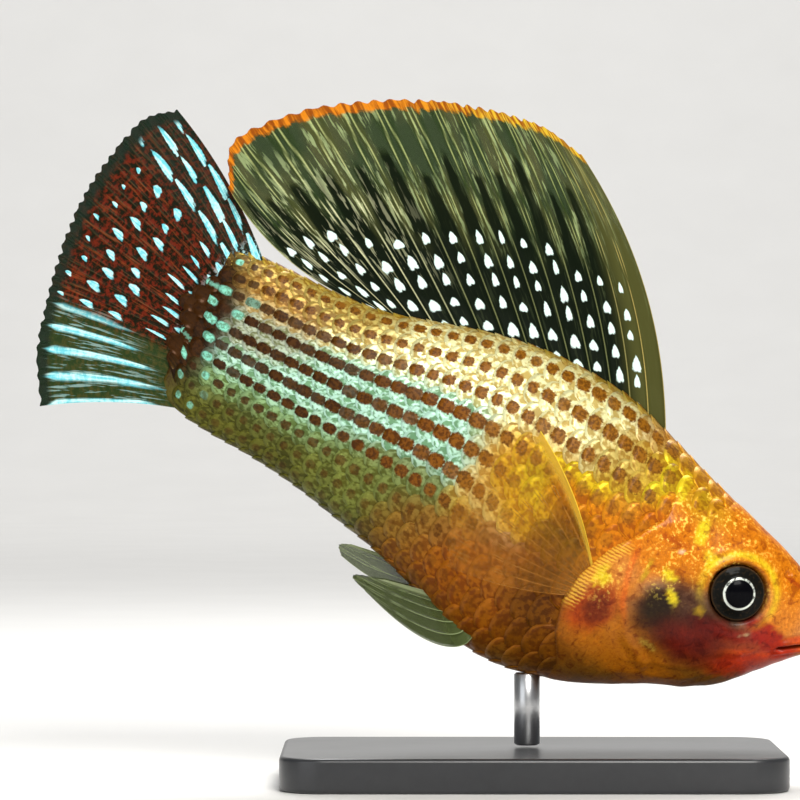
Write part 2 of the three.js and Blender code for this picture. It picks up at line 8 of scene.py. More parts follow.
import bpy
import numpy as np
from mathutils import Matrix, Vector


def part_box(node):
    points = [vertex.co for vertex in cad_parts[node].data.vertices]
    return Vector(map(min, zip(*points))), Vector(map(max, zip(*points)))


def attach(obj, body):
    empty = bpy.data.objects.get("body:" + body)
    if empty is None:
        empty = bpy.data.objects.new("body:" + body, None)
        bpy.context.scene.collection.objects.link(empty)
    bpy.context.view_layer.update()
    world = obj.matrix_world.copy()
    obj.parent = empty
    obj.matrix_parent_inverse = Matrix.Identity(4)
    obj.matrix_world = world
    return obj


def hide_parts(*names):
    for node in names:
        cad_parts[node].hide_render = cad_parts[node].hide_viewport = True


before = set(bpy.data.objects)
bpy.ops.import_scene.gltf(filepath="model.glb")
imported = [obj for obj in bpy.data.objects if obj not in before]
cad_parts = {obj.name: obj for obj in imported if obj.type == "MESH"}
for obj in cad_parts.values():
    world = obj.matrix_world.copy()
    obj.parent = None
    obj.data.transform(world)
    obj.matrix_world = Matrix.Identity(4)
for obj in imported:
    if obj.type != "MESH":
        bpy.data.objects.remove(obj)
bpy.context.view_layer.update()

# Pose and shape of the body
PITCH = math.radians(28)
SNOUT_X = 33.0
SNOUT_Z = 16.5
MM = 0.001

# x, top, bottom, half width, level of the widest part, squareness above it and below it
SECTIONS = np.array([
    (0.7, -0.4, -0.5, 0.05, -0.45, 2.2, 2.2),
    (0.45, 0.55, -1.2, 1.5, -0.4, 2.3, 2.2),
    (-0.5, 2.0, -2.1, 2.3, -0.3, 2.4, 2.2),
    (-2.2, 4.1, -3.8, 3.1, 0.0, 2.5, 2.1),
    (-4.6, 6.2, -6.5, 4.2, 0.3, 2.6, 2.0),
    (-7.5, 7.55, -9.7, 5.2, 0.5, 2.6, 2.0),
    (-11.0, 8.6, -11.9, 6.1, 0.4, 2.6, 2.0),
    (-15.5, 9.95, -13.9, 6.8, -0.6, 2.4, 2.0),
    (-20.5, 11.45, -16.65, 7.4, -2.0, 2.2, 2.0),
    (-26.0, 13.2, -18.75, 7.8, -3.2, 2.0, 2.0),
    (-32.0, 14.9, -19.9, 8.0, -3.8, 1.9, 2.0),
    (-38.0, 15.4, -19.3, 7.8, -3.6, 1.85, 1.95),
    (-44.0, 15.1, -16.7, 7.3, -2.8, 1.85, 1.9),
    (-50.0, 14.0, -14.9, 6.6, -2.0, 1.85, 1.9),
    (-56.0, 12.2, -13.7, 5.7, -1.5, 1.85, 1.9),
    (-62.0, 10.4, -12.6, 4.8, -1.1, 1.9, 1.9),
    (-68.0, 9.6, -12.0, 3.8, -0.9, 1.9, 1.9),
    (-74.0, 9.4, -11.8, 2.8, -0.7, 2.0, 2.0),
    (-79.0, 9.1, -11.1, 1.5, -0.4, 2.0, 2.0),
    (-81.2, 8.4, -9.0, 0.6, -0.3, 2.0, 2.0),
])
GILL_EDGE = [(-24.0, 16.0), (-22.6, 9.0), (-22.4, 4.5), (-24.4, 1.2), (-26.6, -2.2), (-28.1, -6.0), (-28.5, -9.5),
             (-27.5, -13.2), (-25.4, -16.4), (-24.6, -22.0)]
SCALE_FRONT = [(-13.5, 16.0), (-15.0, 10.0), (-18.0, 7.0), (-21.5, 4.5), (-24.6, 1.2), (-26.8, -2.2),
               (-28.3, -6.0), (-28.7, -9.5), (-27.7, -13.2), (-25.6, -16.4), (-24.8, -22.0)]
CHEEK_RIDGE = [(-23.9, 1.2), (-23.4, -3.0), (-22.2, -6.6), (-20.2, -9.8), (-16.6, -11.9)]
EYE_X, EYE_Z, EYE_RADIUS, EYE_RISE, EYE_TURN = -11.0, 0.6, 3.15, 1.15, math.radians(9)
ORBIT_RIM = 3.85
MOUTH_CORNER = (-3.7, -2.9)
MOUTH_FRONT = (0.55, -0.45)
NOSTRILS = [(-3.2, 4.3, 0.30), (-6.6, 5.3, 0.36)]


def smooth(low, high, value):
    """0 at low and 1 at high, eased at both ends."""
    share = np.clip((np.asarray(value, float) - low) / (high - low), 0, 1)
    return share * share * (3 - 2 * share)


def bump(value, width):
    """1 at nought, and soon nothing beyond the width."""
    return np.exp(-(np.asarray(value) / width) ** 2)


def between(rows, at):
    """A smooth curve through evenly spaced rows of numbers, read at places that may lie between rows."""
    rows = np.asarray(rows, float)
    last = len(rows) - 1
    at = np.clip(np.asarray(at, float), 0, last)
    i = np.minimum(at.astype(int), last - 1)
    s = (at - i)[..., None]
    a, b = rows[i], rows[i + 1]
    before, after = rows[np.maximum(i - 1, 0)], rows[np.minimum(i + 2, last)]
    leave = (b - before) / np.where(i > 0, 2.0, 1.0)[..., None]
    arrive = (after - a) / np.where(i + 2 <= last, 2.0, 1.0)[..., None]
    return (a * (2 * s ** 3 - 3 * s ** 2 + 1) + leave * (s ** 3 - 2 * s ** 2 + s)
            + b * (3 * s ** 2 - 2 * s ** 3) + arrive * (s ** 3 - s ** 2))


_steps = np.linspace(0, len(SECTIONS) - 1, 6000)
_places = between(SECTIONS, _steps)[:, 0]


def row_at(x):
    """The place in the table of sections at which the body reaches x."""
    return np.interp(-np.asarray(x, float), -_places, _steps)


def skin_point(at, turn, grow=0.0):
    """The plain body's surface: turn is 0 at the back, and a half turn at the belly."""
    top, bottom, half, level, above, below = np.moveaxis(between(SECTIONS, at)[..., 1:], -1, 0)
    x = between(SECTIONS, at)[..., 0]
    up, out = np.cos(turn), np.sin(turn)
    power = 2 / np.where(up > 0, above, below)
    reach = np.where(up > 0, top - level, level - bottom)
    y = half * np.sign(out) * np.abs(out) ** power
    z = level + reach * np.sign(up) * np.abs(up) ** power
    ny, nz = y / (half ** 2 + 1e-6), (z - level) / (reach ** 2 + 1e-6)
    size = np.hypot(ny, nz) + 1e-12
    return np.stack([x, y + grow * ny / size, z + grow * nz / size], -1)


def skin_at(x, z, side, grow=0.0):
    """The skin's point on one side at x and a level of the side view; the right side is -1."""
    at = row_at(x)
    top, bottom, _, level, above, below = np.moveaxis(between(SECTIONS, at)[..., 1:], -1, 0)
    z = np.asarray(z, float)
    rise = np.where(z > level, (z - level) / (top - level), (z - level) / (level - bottom))
    power = np.where(z > level, above, below) / 2
    up = np.sign(rise) * np.minimum(np.abs(rise), 1) ** power
    point = skin_point(at, np.arccos(up), grow)
    point[..., 1] *= side
    return point


def line_x(line, z):
    """The x of a run of points at a level; the run goes downwards."""
    xs, zs = np.array(line).T
    return np.interp(-np.asarray(z), -zs, xs)


def to_line(line, points):
    """How far each point lies from a run of points, and how far along the run its nearest place is, 0 to 1."""
    line = np.asarray(line, float)
    best = np.full(len(points), np.inf)
    along = np.zeros(len(points))
    for k in range(len(line) - 1):
        a, step = line[k], line[k + 1] - line[k]
        share = np.clip((points - a) @ step / (step @ step), 0, 1)
        far = np.linalg.norm(points - a - share[:, None] * step, axis=1)
        near = far < best
        best[near] = far[near]
        along[near] = (k + share[near]) / (len(line) - 1)
    return best, along


def posed(points):
    """From the fish's own frame in millimetres to the part's frame in metres."""
    points = np.asarray(points, float)
    c, s = math.cos(PITCH), math.sin(PITCH)
    x, y, z = points[..., 0], points[..., 1], points[..., 2]
    return np.stack([x * c + z * s + SNOUT_X, y, z * c - x * s + SNOUT_Z], -1) * MM


def level_frame(points):
    """The way back from posed()."""
    points = np.asarray(points, float) / MM - np.array([SNOUT_X, 0, SNOUT_Z])
    c, s = math.cos(PITCH), math.sin(PITCH)
    x, y, z = points[..., 0], points[..., 1], points[..., 2]
    return np.stack([x * c - z * s, y, x * s + z * c], -1)


# Colours
INKS = {
    "cream": "#EDE9B0", "mint": "#BCE6D0", "orange": "#CE760A", "amber": "#9C5608", "rust": "#74430A",
    "red": "#980F03", "maroon": "#360B04", "umber": "#3A2006", "yellow": "#E4CE20", "gold": "#BC9A18",
    "shade": "#141005", "tan": "#AD9336", "lip": "#A62606", "pale": "#F1F5DC", "bark": "#4C2C05",
    # sage, fern and khaki are the fish's olive, darkened in part as painted shade of its lower side.
    "sky": "#86D8C8", "sage": "#737A36", "fern": "#86A874", "flame": "#E0560A", "khaki": "#565318",
    "honey": "#D0A020", "ochre": "#8C5A12",
}


def linear(code):
    """A painter's colour code as amounts of light."""
    values = np.array([int(code[k:k + 2], 16) for k in (1, 3, 5)]) / 255
    return np.where(values <= 0.04045, values / 12.92, ((values + 0.055) / 1.055) ** 2.4)


INK = {name: linear(code) for name, code in INKS.items()}
CLOUD_CELLS = 24
_lattice = np.random.RandomState(7).rand(CLOUD_CELLS, CLOUD_CELLS, CLOUD_CELLS)


def cloud(points, size, seed=0):
    """Soft random values, 0 to 1, with blotches about as wide as size."""
    p = np.asarray(points) / size + 11.3 * seed + 100
    i = np.floor(p).astype(int)
    f = p - i
    f = f * f * (3 - 2 * f)
    total = 0
    for corner in np.ndindex(2, 2, 2):
        share = 1
        for axis, step in enumerate(corner):
            share = share * (f[..., axis] if step else 1 - f[..., axis])
        x, y, z = np.moveaxis((i + corner) % CLOUD_CELLS, -1, 0)
        total = total + share * _lattice[x, y, z]
    return total


def tint(colour, share, ink):
    """Colours moved towards an ink by each point's share."""
    return colour + np.asarray(share)[:, None] * (INK[ink] - colour)


def graded(values, stops):
    """Colours read between inks that are set at rising values."""
    places = [place for place, _ in stops]
    return np.stack([np.interp(values, places, [INK[ink][c] for _, ink in stops]) for c in range(3)], -1)


# Washes of colour over the body: name, x, z, half length, half height, tilt in degrees, ink, strength
WASHES = [
    ("hind back", -72, 8, 14, 4, 4, "tan", 0.85),
    ("hind flank", -75, 3, 9, 5, 0, "amber", 0.45),
    ("tail root", -81.8, -1, 5.0, 11, 0, "umber", 1.0),
    # Darker olive low on the hind body: the fish's colour, deepened in part as painted shade of the lower side.
    ("hind belly", -70, -9.5, 16, 2.6, 0, "khaki", 0.6),
    ("shoulder", -35, -0.5, 11.5, 6.5, -24, "honey", 1.0),
    ("shoulder gold", -37.5, 1.0, 3.2, 2.2, -30, "yellow", 0.55),
    ("behind the temple", -28.5, 3.0, 5.0, 3.8, 0, "honey", 0.9),
    ("shoulder flame", -31, 1.0, 5.5, 3.2, -10, "orange", 0.8),
    # Painted shade: dark brown on the flank past the gill cover, round the paddle fin's root.
    ("gill's painted shade", -31.5, -5.5, 4.2, 5.5, 0, "bark", 0.8),
    # Darker olive on the low flank: the fish's colour, deepened in part as painted shade of the lower side.
    ("low flank", -52, -7.5, 11, 4.5, 8, "sage", 0.85),
    ("shoulder's hind edge", -41.5, -4.0, 4.6, 4.0, -25, "honey", 0.7),
    ("fore belly", -34, -12.5, 13, 7.5, 2, "amber", 0.95),
    ("mid belly", -45, -11, 8, 5, 14, "amber", 0.55),
    ("belly shade", -31, -10, 4, 4.5, 0, "bark", 0.6),
    ("chest", -26, -16, 8, 3, -10, "rust", 0.7),
    ("crown", -13, 8, 16, 7, -12, "orange", 1.0),
    ("nape", -22, 7, 6, 7, 0, "gold", 0.55),
    ("fore back", -27.5, 7.5, 6.5, 4.5, 10, "gold", 0.7),
    ("temple", -19, 1.5, 9, 4.5, 0, "orange", 1.0),
    ("gill top", -22.4, 4.6, 3.2, 2.4, 0, "orange", 0.85),
    ("cheek", -14, -8, 14, 8, 12, "rust", 0.9),
    ("gill cover", -24.5, -3, 4.5, 5, -10, "orange", 0.9),
    ("throat", -15, -13.5, 12, 3.0, -20, "bark", 0.5),
    ("gill cover below", -20.5, -10.5, 8.5, 4.0, -8, "orange", 0.5),
    ("snout", -3.5, 2, 5, 5, 0, "orange", 0.9),
    ("snout side", -5.5, 0.5, 3, 2.5, 0, "orange", 0.7),
    ("cheek shade", -15.6, -5.4, 6.0, 4.2, 10, "maroon", 0.8),
    ("cheek spot", -18.3, -5.4, 2.6, 2.6, 0, "umber", 0.95),
    ("cheek spot core", -18.4, -5.3, 1.8, 1.9, 0, "shade", 0.7),
    ("under the eye", -11.0, -3.9, 4.2, 1.3, 6, "maroon", 0.75),
    ("red cheek", -10.0, -6.0, 7.0, 2.9, 18, "red", 0.6),
    ("jaw", -5.6, -2.2, 4.6, 1.5, -16, "red", 0.95),
    ("chin", -5.5, -5.6, 5.5, 1.6, 35, "lip", 0.75),
    ("jaw angle", -13.4, -7.0, 5.0, 3.2, 14, "maroon", 0.6),
    ("gill patch", -25.0, -8.4, 2.5, 3.6, -25, "red", 0.65),
    ("gill patch core", -24.6, -8.4, 1.7, 2.3, -8, "maroon", 0.6),
    ("yellow behind the eye", -17.9, 4.9, 0.9, 1.6, 10, "yellow", 0.85),
    ("yellow nape bar", -22.0, 8.8, 0.55, 2.2, 8, "yellow", 0.8),
    ("yellow shoulder bar", -24.5, 8.2, 0.75, 3.4, 12, "yellow", 0.8),
    ("yellow shoulder drop", -25.4, 6.2, 0.7, 0.9, 0, "yellow", 0.7),
    ("crown bar", -19.2, 8.6, 0.7, 1.4, 10, "gold", 0.7),
    ("fleck at the cheek", -19.0, -1.3, 1.0, 0.65, -30, "yellow", 0.95),
    ("fleck over the cheek spot", -17.5, -3.3, 1.1, 0.6, -35, "yellow", 0.9),
    ("fleck by the ridge", -21.6, -1.9, 0.4, 1.5, 0, "gold", 0.8),
    ("fleck behind the orbit", -15.6, 2.7, 1.1, 0.8, -20, "yellow", 0.65),
    ("gold on the gill cover", -25.9, -4.9, 0.9, 1.3, 30, "yellow", 0.8),
    # Painted highlight: a thin pale dash behind the eye, with red painted just over it.
    ("highlight dash", -20.0, 1.75, 1.3, 0.14, 4, "pale", 0.7),
    ("red over the dash", -20.5, 2.5, 2.2, 0.4, 5, "red", 0.5),
    # Painted highlight: a faint pale stroke by the jaw.
    ("pink highlight", -8.2, -3.4, 0.6, 0.14, 25, "cream", 0.3),
    ("small cheek flecks", -14.0, -3.2, 0.6, 0.8, 0, "gold", 0.45),
    ("pale dash on the jaw", -17.3, -9.6, 1.3, 0.3, -12, "tan", 0.6),
    ("nostril shade", -5.6, 4.8, 1.3, 0.28, -8, "red", 0.6),
]
SMALL_WASH = 2  # a wash thinner than this, in millimetres, gets a ragged edge
# Strokes of colour along lines: name, line, half width, ink, strength
STROKES = [
    ("cheek ridge", CHEEK_RIDGE[:4], 0.34, "flame", 0.42),
    ("jaw stripe", [(-3.6, -3.6), (-6.0, -4.6), (-8.5, -5.8), (-11, -7.0)], 0.3, "flame", 0.22),
    ("shoulder line", [(-28, 3.6), (-33, 3.8), (-38, 4.6), (-41, 5.2)], 0.8, "yellow", 0.6),
]


def markings(points):
    """The ground colour of skin and scales at points of the body, the same on both sides."""
    at = row_at(points[:, 0])
    top, bottom = between(SECTIONS, at)[:, 1], between(SECTIONS, at)[:, 2]
    height = (points[:, 2] - bottom) / (top - bottom)
    height = height + 0.05 * (cloud(points, 2.2, 1) - 0.5)
    # Darker towards the belly: the olive of the fish's lower side, deepened in part with painted shade of the
    # underside.
    colour = graded(height, [(0.0, "khaki"), (0.14, "sage"), (0.30, "fern"), (0.40, "mint"), (0.66, "mint"),
                             (0.78, "cream"), (0.95, "cream"), (1.0, "tan")])
    wobble = np.stack([cloud(points, 1.4, 2), cloud(points, 1.4, 3)], -1) - 0.5
    ragged = np.stack([cloud(points, 0.45, 6), cloud(points, 0.45, 7)], -1) - 0.5
    side_view = points[:, [0, 2]]
    for _, x, z, long, high, tilt, ink, strength in WASHES:
        c, s = math.cos(math.radians(tilt)), math.sin(math.radians(tilt))
        off = side_view + 0.9 * wobble - (x, z)
        if min(long, high) < SMALL_WASH:
            off = off - 0.6 * wobble + 0.8 * min(high, 1) * ragged
        far = np.hypot((off[:, 0] * c + off[:, 1] * s) / long, (off[:, 1] * c - off[:, 0] * s) / high)
        colour = tint(colour, strength * (1 - smooth(0.62, 1.28, far)), ink)
    for _, line, wide, ink, strength in STROKES:
        far, along = to_line(line, side_view + 0.2 * wobble)
        share = strength * (1 - smooth(0.5 * wide, 1.5 * wide, far)) * smooth(0, 0.2, along) * smooth(1, 0.6, along)
        colour = tint(colour, share, ink)
    edge = (1 - smooth(0.0, 0.05, height)) * smooth(-52, -46, points[:, 0]) * (1 - smooth(-14, -9, points[:, 0]))
    colour = tint(colour, 0.45 * edge, "amber")
    ring = np.hypot(points[:, 0] - EYE_X, points[:, 2] - EYE_Z)
    lit = bump(ring - 4.45, 0.45) * smooth(-3.5, 2.5, points[:, 2]) * (0.6 + 0.8 * cloud(points, 0.8, 4))
    colour = tint(colour, 0.65 * lit, "yellow")
    dark = 1 - smooth(3.3, 3.9, ring)
    return colour + 0.85 * dark[:, None] * (INK["maroon"] * 0.4 - colour)


# Meshes
def patch(rows, columns, closed=False):
    """Faces of a lattice of points, and each face corner's place in the lattice."""
    i, j = np.meshgrid(np.arange(rows - 1), np.arange(columns if closed else columns - 1), indexing="ij")
    i, j = i.ravel(), j.ravel()
    corners = np.stack([np.stack(c, -1) for c in ((i, j), (i + 1, j), (i + 1, j + 1), (i, j + 1))], 1)
    return corners[..., 0] * columns + corners[..., 1] % columns, corners.astype(float)


def add_map(mesh, label, data):
    mesh.uv_layers.new(name=label).data.foreach_set("uv", np.asarray(data, np.float32).ravel())


def add_values(mesh, values, colours):
    for label, data in values.items():
        mesh.attributes.new(label, "FLOAT", "POINT").data.foreach_set("value", np.asarray(data, np.float32).ravel())
    for label, data in colours.items():
        data = np.concatenate([np.clip(data, 0, 1), np.ones((len(data), 1))], -1).astype(np.float32)
        mesh.color_attributes.new(label, "FLOAT_COLOR", "POINT").data.foreach_set("color", data.ravel())
    mesh.polygons.foreach_set("use_smooth", [True] * len(mesh.polygons))


def show(name, mesh):
    made = bpy.data.objects.new(name, mesh)
    bpy.context.scene.collection.objects.link(made)
    return made


def build(name, points, faces, maps={}, values={}, colours={}, flip=False, material=None):
    """A mesh object from points in metres, its faces, maps by face corner, and values and colours by point."""
    if flip:
        ends = np.cumsum([len(face) for face in faces])
        turned = np.concatenate([np.arange(end - len(face), end)[::-1] for face, end in zip(faces, ends)])
        faces = [face[::-1] for face in faces]
    mesh = bpy.data.meshes.new(name)
    mesh.from_pydata([tuple(point) for point in points], [], [tuple(map(int, face)) for face in faces])
    for label, data in maps.items():
        data = np.asarray(data, float).reshape(-1, 2)
        add_map(mesh, label, data[turned] if flip else data)
    add_values(mesh, values, colours)
    mesh.update()
    mesh.validate()
    if material:
        mesh.materials.append(material)
    return show(name, mesh)


def finish_piece(piece, slot, *nodes):
    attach(piece, "root")
    if nodes:
        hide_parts(*nodes)
    return piece


# Materials
class Wire:
    """A value or colour inside a node tree, on which sums are written as plain arithmetic."""

    def __init__(self, tree, socket):
        self.tree, self.socket = tree, socket

    def __rsub__(self, other):
        return (self * -1.0) + other

    def step(self, low, high):
        """0 at low and 1 at high, eased."""
        ends = (1.0, 0.0) if low > high else (0.0, 1.0)
        return Bench(self.tree).node("ShaderNodeMapRange", {
            "Value": self, "From Min": min(low, high), "From Max": max(low, high), "To Min": ends[0],
            "To Max": ends[1]}, "Result", interpolation_type="SMOOTHSTEP")


def sum_of(kind):
    def work(self, *others):
        return Bench(self.tree).node("ShaderNodeMath", dict(enumerate((self,) + others)), operation=kind)
    return work


for method, kind in (("__add__", "ADD"), ("__radd__", "ADD"), ("__sub__", "SUBTRACT"), ("__mul__", "MULTIPLY"),
                     ("__rmul__", "MULTIPLY"), ("__truediv__", "DIVIDE"), ("floor", "FLOOR"), ("part", "FRACT"),
                     ("size", "ABSOLUTE"), ("power", "POWER"), ("least", "MINIMUM"), ("most", "MAXIMUM")):
    setattr(Wire, method, sum_of(kind))


def plug(tree, value, socket):
    if isinstance(value, Wire):
        tree.links.new(value.socket, socket)
    elif socket.type == "RGBA":
        socket.default_value = (*value, 1.0) if len(value) == 3 else value
    else:
        socket.default_value = value


class Bench:
    """Short names for the nodes that the finishes use."""

    def __init__(self, tree):
        self.tree = tree

    def node(self, kind, inputs, output=0, **settings):
        """A new node with its settings and inputs, given back as one of its outputs."""
        node = self.tree.nodes.new(kind)
        for label, value in settings.items():
            setattr(node, label, value)
        for label, value in inputs.items():
            plug(self.tree, value, node.inputs[label])
        return Wire(self.tree, node.outputs[output])

    def all_of(self, wire):
        """Every output of the node that a wire comes from."""
        return [Wire(self.tree, socket) for socket in wire.socket.node.outputs]

    def attribute(self, name, output="Color"):
        return self.node("ShaderNodeAttribute", {}, output, attribute_name=name)

    def map(self, name):
        return self.node("ShaderNodeUVMap", {}, "UV", uv_map=name)

    def place(self):
        return self.node("ShaderNodeTexCoord", {}, "Object")

    def split(self, vector, kind="XYZ"):
        return self.all_of(self.node("ShaderNodeSeparate" + kind, {0: vector}))

    def join(self, x, y, z=0.0):
        return self.node("ShaderNodeCombineXYZ", {0: x, 1: y, 2: z})

    def noise(self, vector, scale, detail=2.0, rough=0.5, warp=0.0):
        return self.node("ShaderNodeTexNoise", {"Vector": vector, "Scale": scale, "Detail": detail,
                                                "Roughness": rough, "Distortion": warp}, "Fac")

    def cells(self, vector, scale):
        return self.node("ShaderNodeTexVoronoi", {"Vector": vector, "Scale": scale}, "Distance")

    def chance(self, vector):
        return self.node("ShaderNodeTexWhiteNoise", {"Vector": vector}, "Value", noise_dimensions="3D")

    def mix(self, share, first, second, blend="MIX"):
        return self.node("ShaderNodeMix", {0: share, 6: first, 7: second}, 2, data_type="RGBA", blend_type=blend)

    def times(self, first, second):
        return self.mix(1.0, first, second, "MULTIPLY")

    def raise_by(self, height, distance, strength=1.0):
        return self.node("ShaderNodeBump", {"Height": height, "Distance": distance, "Strength": strength}, "Normal")

    def use(self, group, **values):
        return self.all_of(self.node("ShaderNodeGroup", values, node_tree=group))


def effect(name, inputs, outputs, make):
    """A node group shared by finishes; make gets a wire for each input and gives one for each output."""
    tree = bpy.data.node_groups.new(name, "ShaderNodeTree")
    kinds = {float: "NodeSocketFloat", tuple: "NodeSocketVector"}
    for label, value in inputs.items():
        socket = tree.interface.new_socket(label, in_out="INPUT", socket_type=kinds[type(value)])
        socket.default_value = value
    for label in outputs:
        tree.interface.new_socket(label, in_out="OUTPUT", socket_type="NodeSocketFloat")
    entry, leave = tree.nodes.new("NodeGroupInput"), tree.nodes.new("NodeGroupOutput")
    bench = Bench(tree)
    wires = make(bench, *[Wire(tree, entry.outputs[label]) for label in inputs])
    for wire, label in zip(wires, outputs):
        tree.links.new(wire.socket, leave.inputs[label])
    return tree


def finish(name, make, **fixed):
    """A material: make returns its changing sockets by name, and fixed gives the constant ones."""
    material = bpy.data.materials.new(name)
    material.use_nodes = True
    tree = material.node_tree
    shader = next(n for n in tree.nodes if n.type == "BSDF_PRINCIPLED")
    for label, value in fixed.items():
        plug(tree, value, shader.inputs[label.replace("_", " ")])
    for label, value in make(Bench(tree)).items():
        plug(tree, value, shader.inputs[label])
    return material


def grain_of(b, place):
    speck = b.noise(place, 2600.0, 3.0, 0.6)
    broad = b.noise(place, 572.0)
    # Glint marks small cells that the scales paint brighter, as painted glints.
    glint = b.cells(place, 2340.0).step(0.28, 0.05)
    return speck, broad, glint


WET_GRAIN = effect("Wet grain", {"Place": (0.0, 0.0, 0.0)}, ["Speck", "Broad", "Glint"], grain_of)


def streaks_of(b, place):
    phase, along, _ = b.split(place)
    lines = b.noise(b.join(phase * 7.0, along * 0.22), 1.0, 3.0, 0.6, 0.3)
    broad = b.noise(b.join(phase * 1.3, along * 0.1), 1.0, 2.0)
    joints = ((along * 1.9 + phase * 0.31).part() - 0.5).size().step(0.42, 0.5)
    web = b.noise(b.join(phase * 3.0, along * 1.6), 1.0, 3.0, 0.65)
    return lines, broad, joints, web


# Marks that run with a fin's rays: Place is the ray's number and the millimetres out from its root
RAY_MARKS = effect("Ray marks", {"Place": (0.0, 0.0, 0.0)}, ["Lines", "Broad", "Joints", "Web"], streaks_of)


def spot_of(b, place, pitch, long, wide, shift, slope):
    """One spot in each gap between rays, every pitch millimetres out from the root."""
    phase, along, _ = b.split(place)
    gap = phase.floor()
    lane = (along + shift + slope * gap) / pitch
    cell = lane.floor()
    jitter = b.chance(b.join(gap, cell, 0.5))
    spare = b.chance(b.join(gap, cell, 7.5))
    up = ((lane.part() - 0.5) * pitch + (jitter - 0.5) * 0.8) / (long * (0.75 + 0.5 * spare))
    width = 1.9 + along * 0.085
    across = ((phase.part() - 0.5) * width + (spare - 0.5) * 0.35) / (wide * (0.8 + 0.5 * jitter))
    tip = up + across.size() * 0.55 - 0.3
    bent = across + up * 0.35
    edge = b.noise(b.join(phase * 6.0, along * 2.2), 1.0, 2.0)
    far = (tip * tip + bent * bent).power(0.5) + (edge - 0.5) * 0.5
    return far.step(1.05, 0.8), (cell + 0.5) * pitch - shift - slope * gap


SPOTS = effect("Spots between rays", {"Place": (0.0, 0.0, 0.0), "Pitch": 3.1, "Long": 0.9, "Wide": 0.6, "Shift": 0.0,
                                      "Slope": 0.0}, ["Spot", "Middle"], spot_of)


def head_skin(b):
    speck = b.use(WET_GRAIN, Place=b.place())[0]
    ground = b.attribute("Ground")
    back, along, _ = b.split(b.map("GillMap"))
    patch = b.noise(b.place(), 900.0, 4.0, 0.6, 0.8)
    colour = b.mix(patch.step(0.46, 0.34) * 0.75, ground, b.times(ground, (0.50, 0.30, 0.16)))
    colour = b.mix(patch.step(0.52, 0.66) * 0.7, colour, b.times(ground, (1.30, 1.22, 0.9)))
    colour = b.mix(speck.step(0.56, 0.36) * 0.45, colour, b.times(colour, (0.55, 0.40, 0.26)))
    gold = (speck * 0.8 + patch * 0.7).step(0.80, 0.92) * b.attribute("Gilt", "Fac")
    colour = b.mix(gold, colour, (0.90, 0.66, 0.10))
    comb = ((along * 2.3 + speck * 0.9).part() - 0.5).size().step(0.34, 0.18)
    fringe = (back - comb * 0.7 - patch * 2.2).step(0.1, -0.6) * back.step(-0.25, -0.05)
    fringe = fringe * (along - 15.2).size().step(5.6, 4.2)
    colour = b.mix(fringe * 0.6, colour, b.mix(comb, (0.42, 0.15, 0.01), (0.88, 0.50, 0.05)))
    return {"Base Color": colour, "Roughness": 0.40 - 0.12 * gold,
            "Normal": b.raise_by(speck * 0.6 + patch * 0.8 + fringe * comb, 0.00010, 0.5)}


SKIN = finish("Wet skin", head_skin, Coat_Weight=0.10, Coat_Roughness=0.12, Specular_IOR_Level=0.12)


def scale_skin(b):
    along, across, _ = b.split(b.map("ScaleMap"))
    speck, broad, glint = b.use(WET_GRAIN, Place=b.place())
    ground, spot = b.attribute("Ground"), b.attribute("Spot")
    amount, size = b.attribute("SpotAmount", "Fac"), b.attribute("SpotSize", "Fac")
    red, _, blue = b.split(ground, "Color")
    deep = b.times(ground, b.mix((blue - red).step(-0.3, 0.1), (0.55, 0.42, 0.22), (0.27, 0.36, 0.23)))
    # Painted glints: the ground half as bright again in small cells, in place of the scales' silvery sparkle.
    painted_glints = b.mix(glint, ground, b.times(ground, (1.45, 1.45, 1.45)))
    rim = ((along - 0.84) - (across - 0.5).size() * 0.2).step(0.0, 0.08)
    chop = b.noise(b.join(along * 5.2, across * 6.5, size * 40.0), 1.0, 1.0)
    flecks = (speck * 0.30 + chop * 0.70 + rim * (0.10 + (size - 1.05).most(0.0) * 0.3)).step(0.415, 0.585)
    tall = ((along - 0.79) / 0.165) / size
    wide = ((across - 0.5) / 0.165) / size.power(0.3)
    far = (tall.size().power(2.6) + wide.size().power(2.6)).power(0.385) + (speck - 0.5) * 0.9
    mask = far.step(1.15, 0.82) * amount
    dot = b.mix(speck.step(0.40, 0.58) * 0.7, b.times(spot, (0.5, 0.45, 0.35)), b.times(spot, (1.3, 1.3, 1.2)))
    rings = (along * 26.0 + broad * 3.0).part().step(0.3, 0.9)
    rays = ((across - 0.5) / (along + 0.25) * 16.0).part().step(0.35, 0.8)
    return {"Base Color": b.mix(mask, b.mix(flecks, deep, painted_glints), dot),
            "Roughness": 0.46 - 0.14 * flecks * (1.0 - mask), "Metallic": (1.0 - mask) * flecks * 0.3,
            "Normal": b.raise_by(rings * 0.5 + rays * 0.25 + speck * 0.6, 0.00005, 0.45)}


SCALE = finish("Scales", scale_skin, Coat_Weight=0.03, Coat_Roughness=0.12, Specular_IOR_Level=0.10)


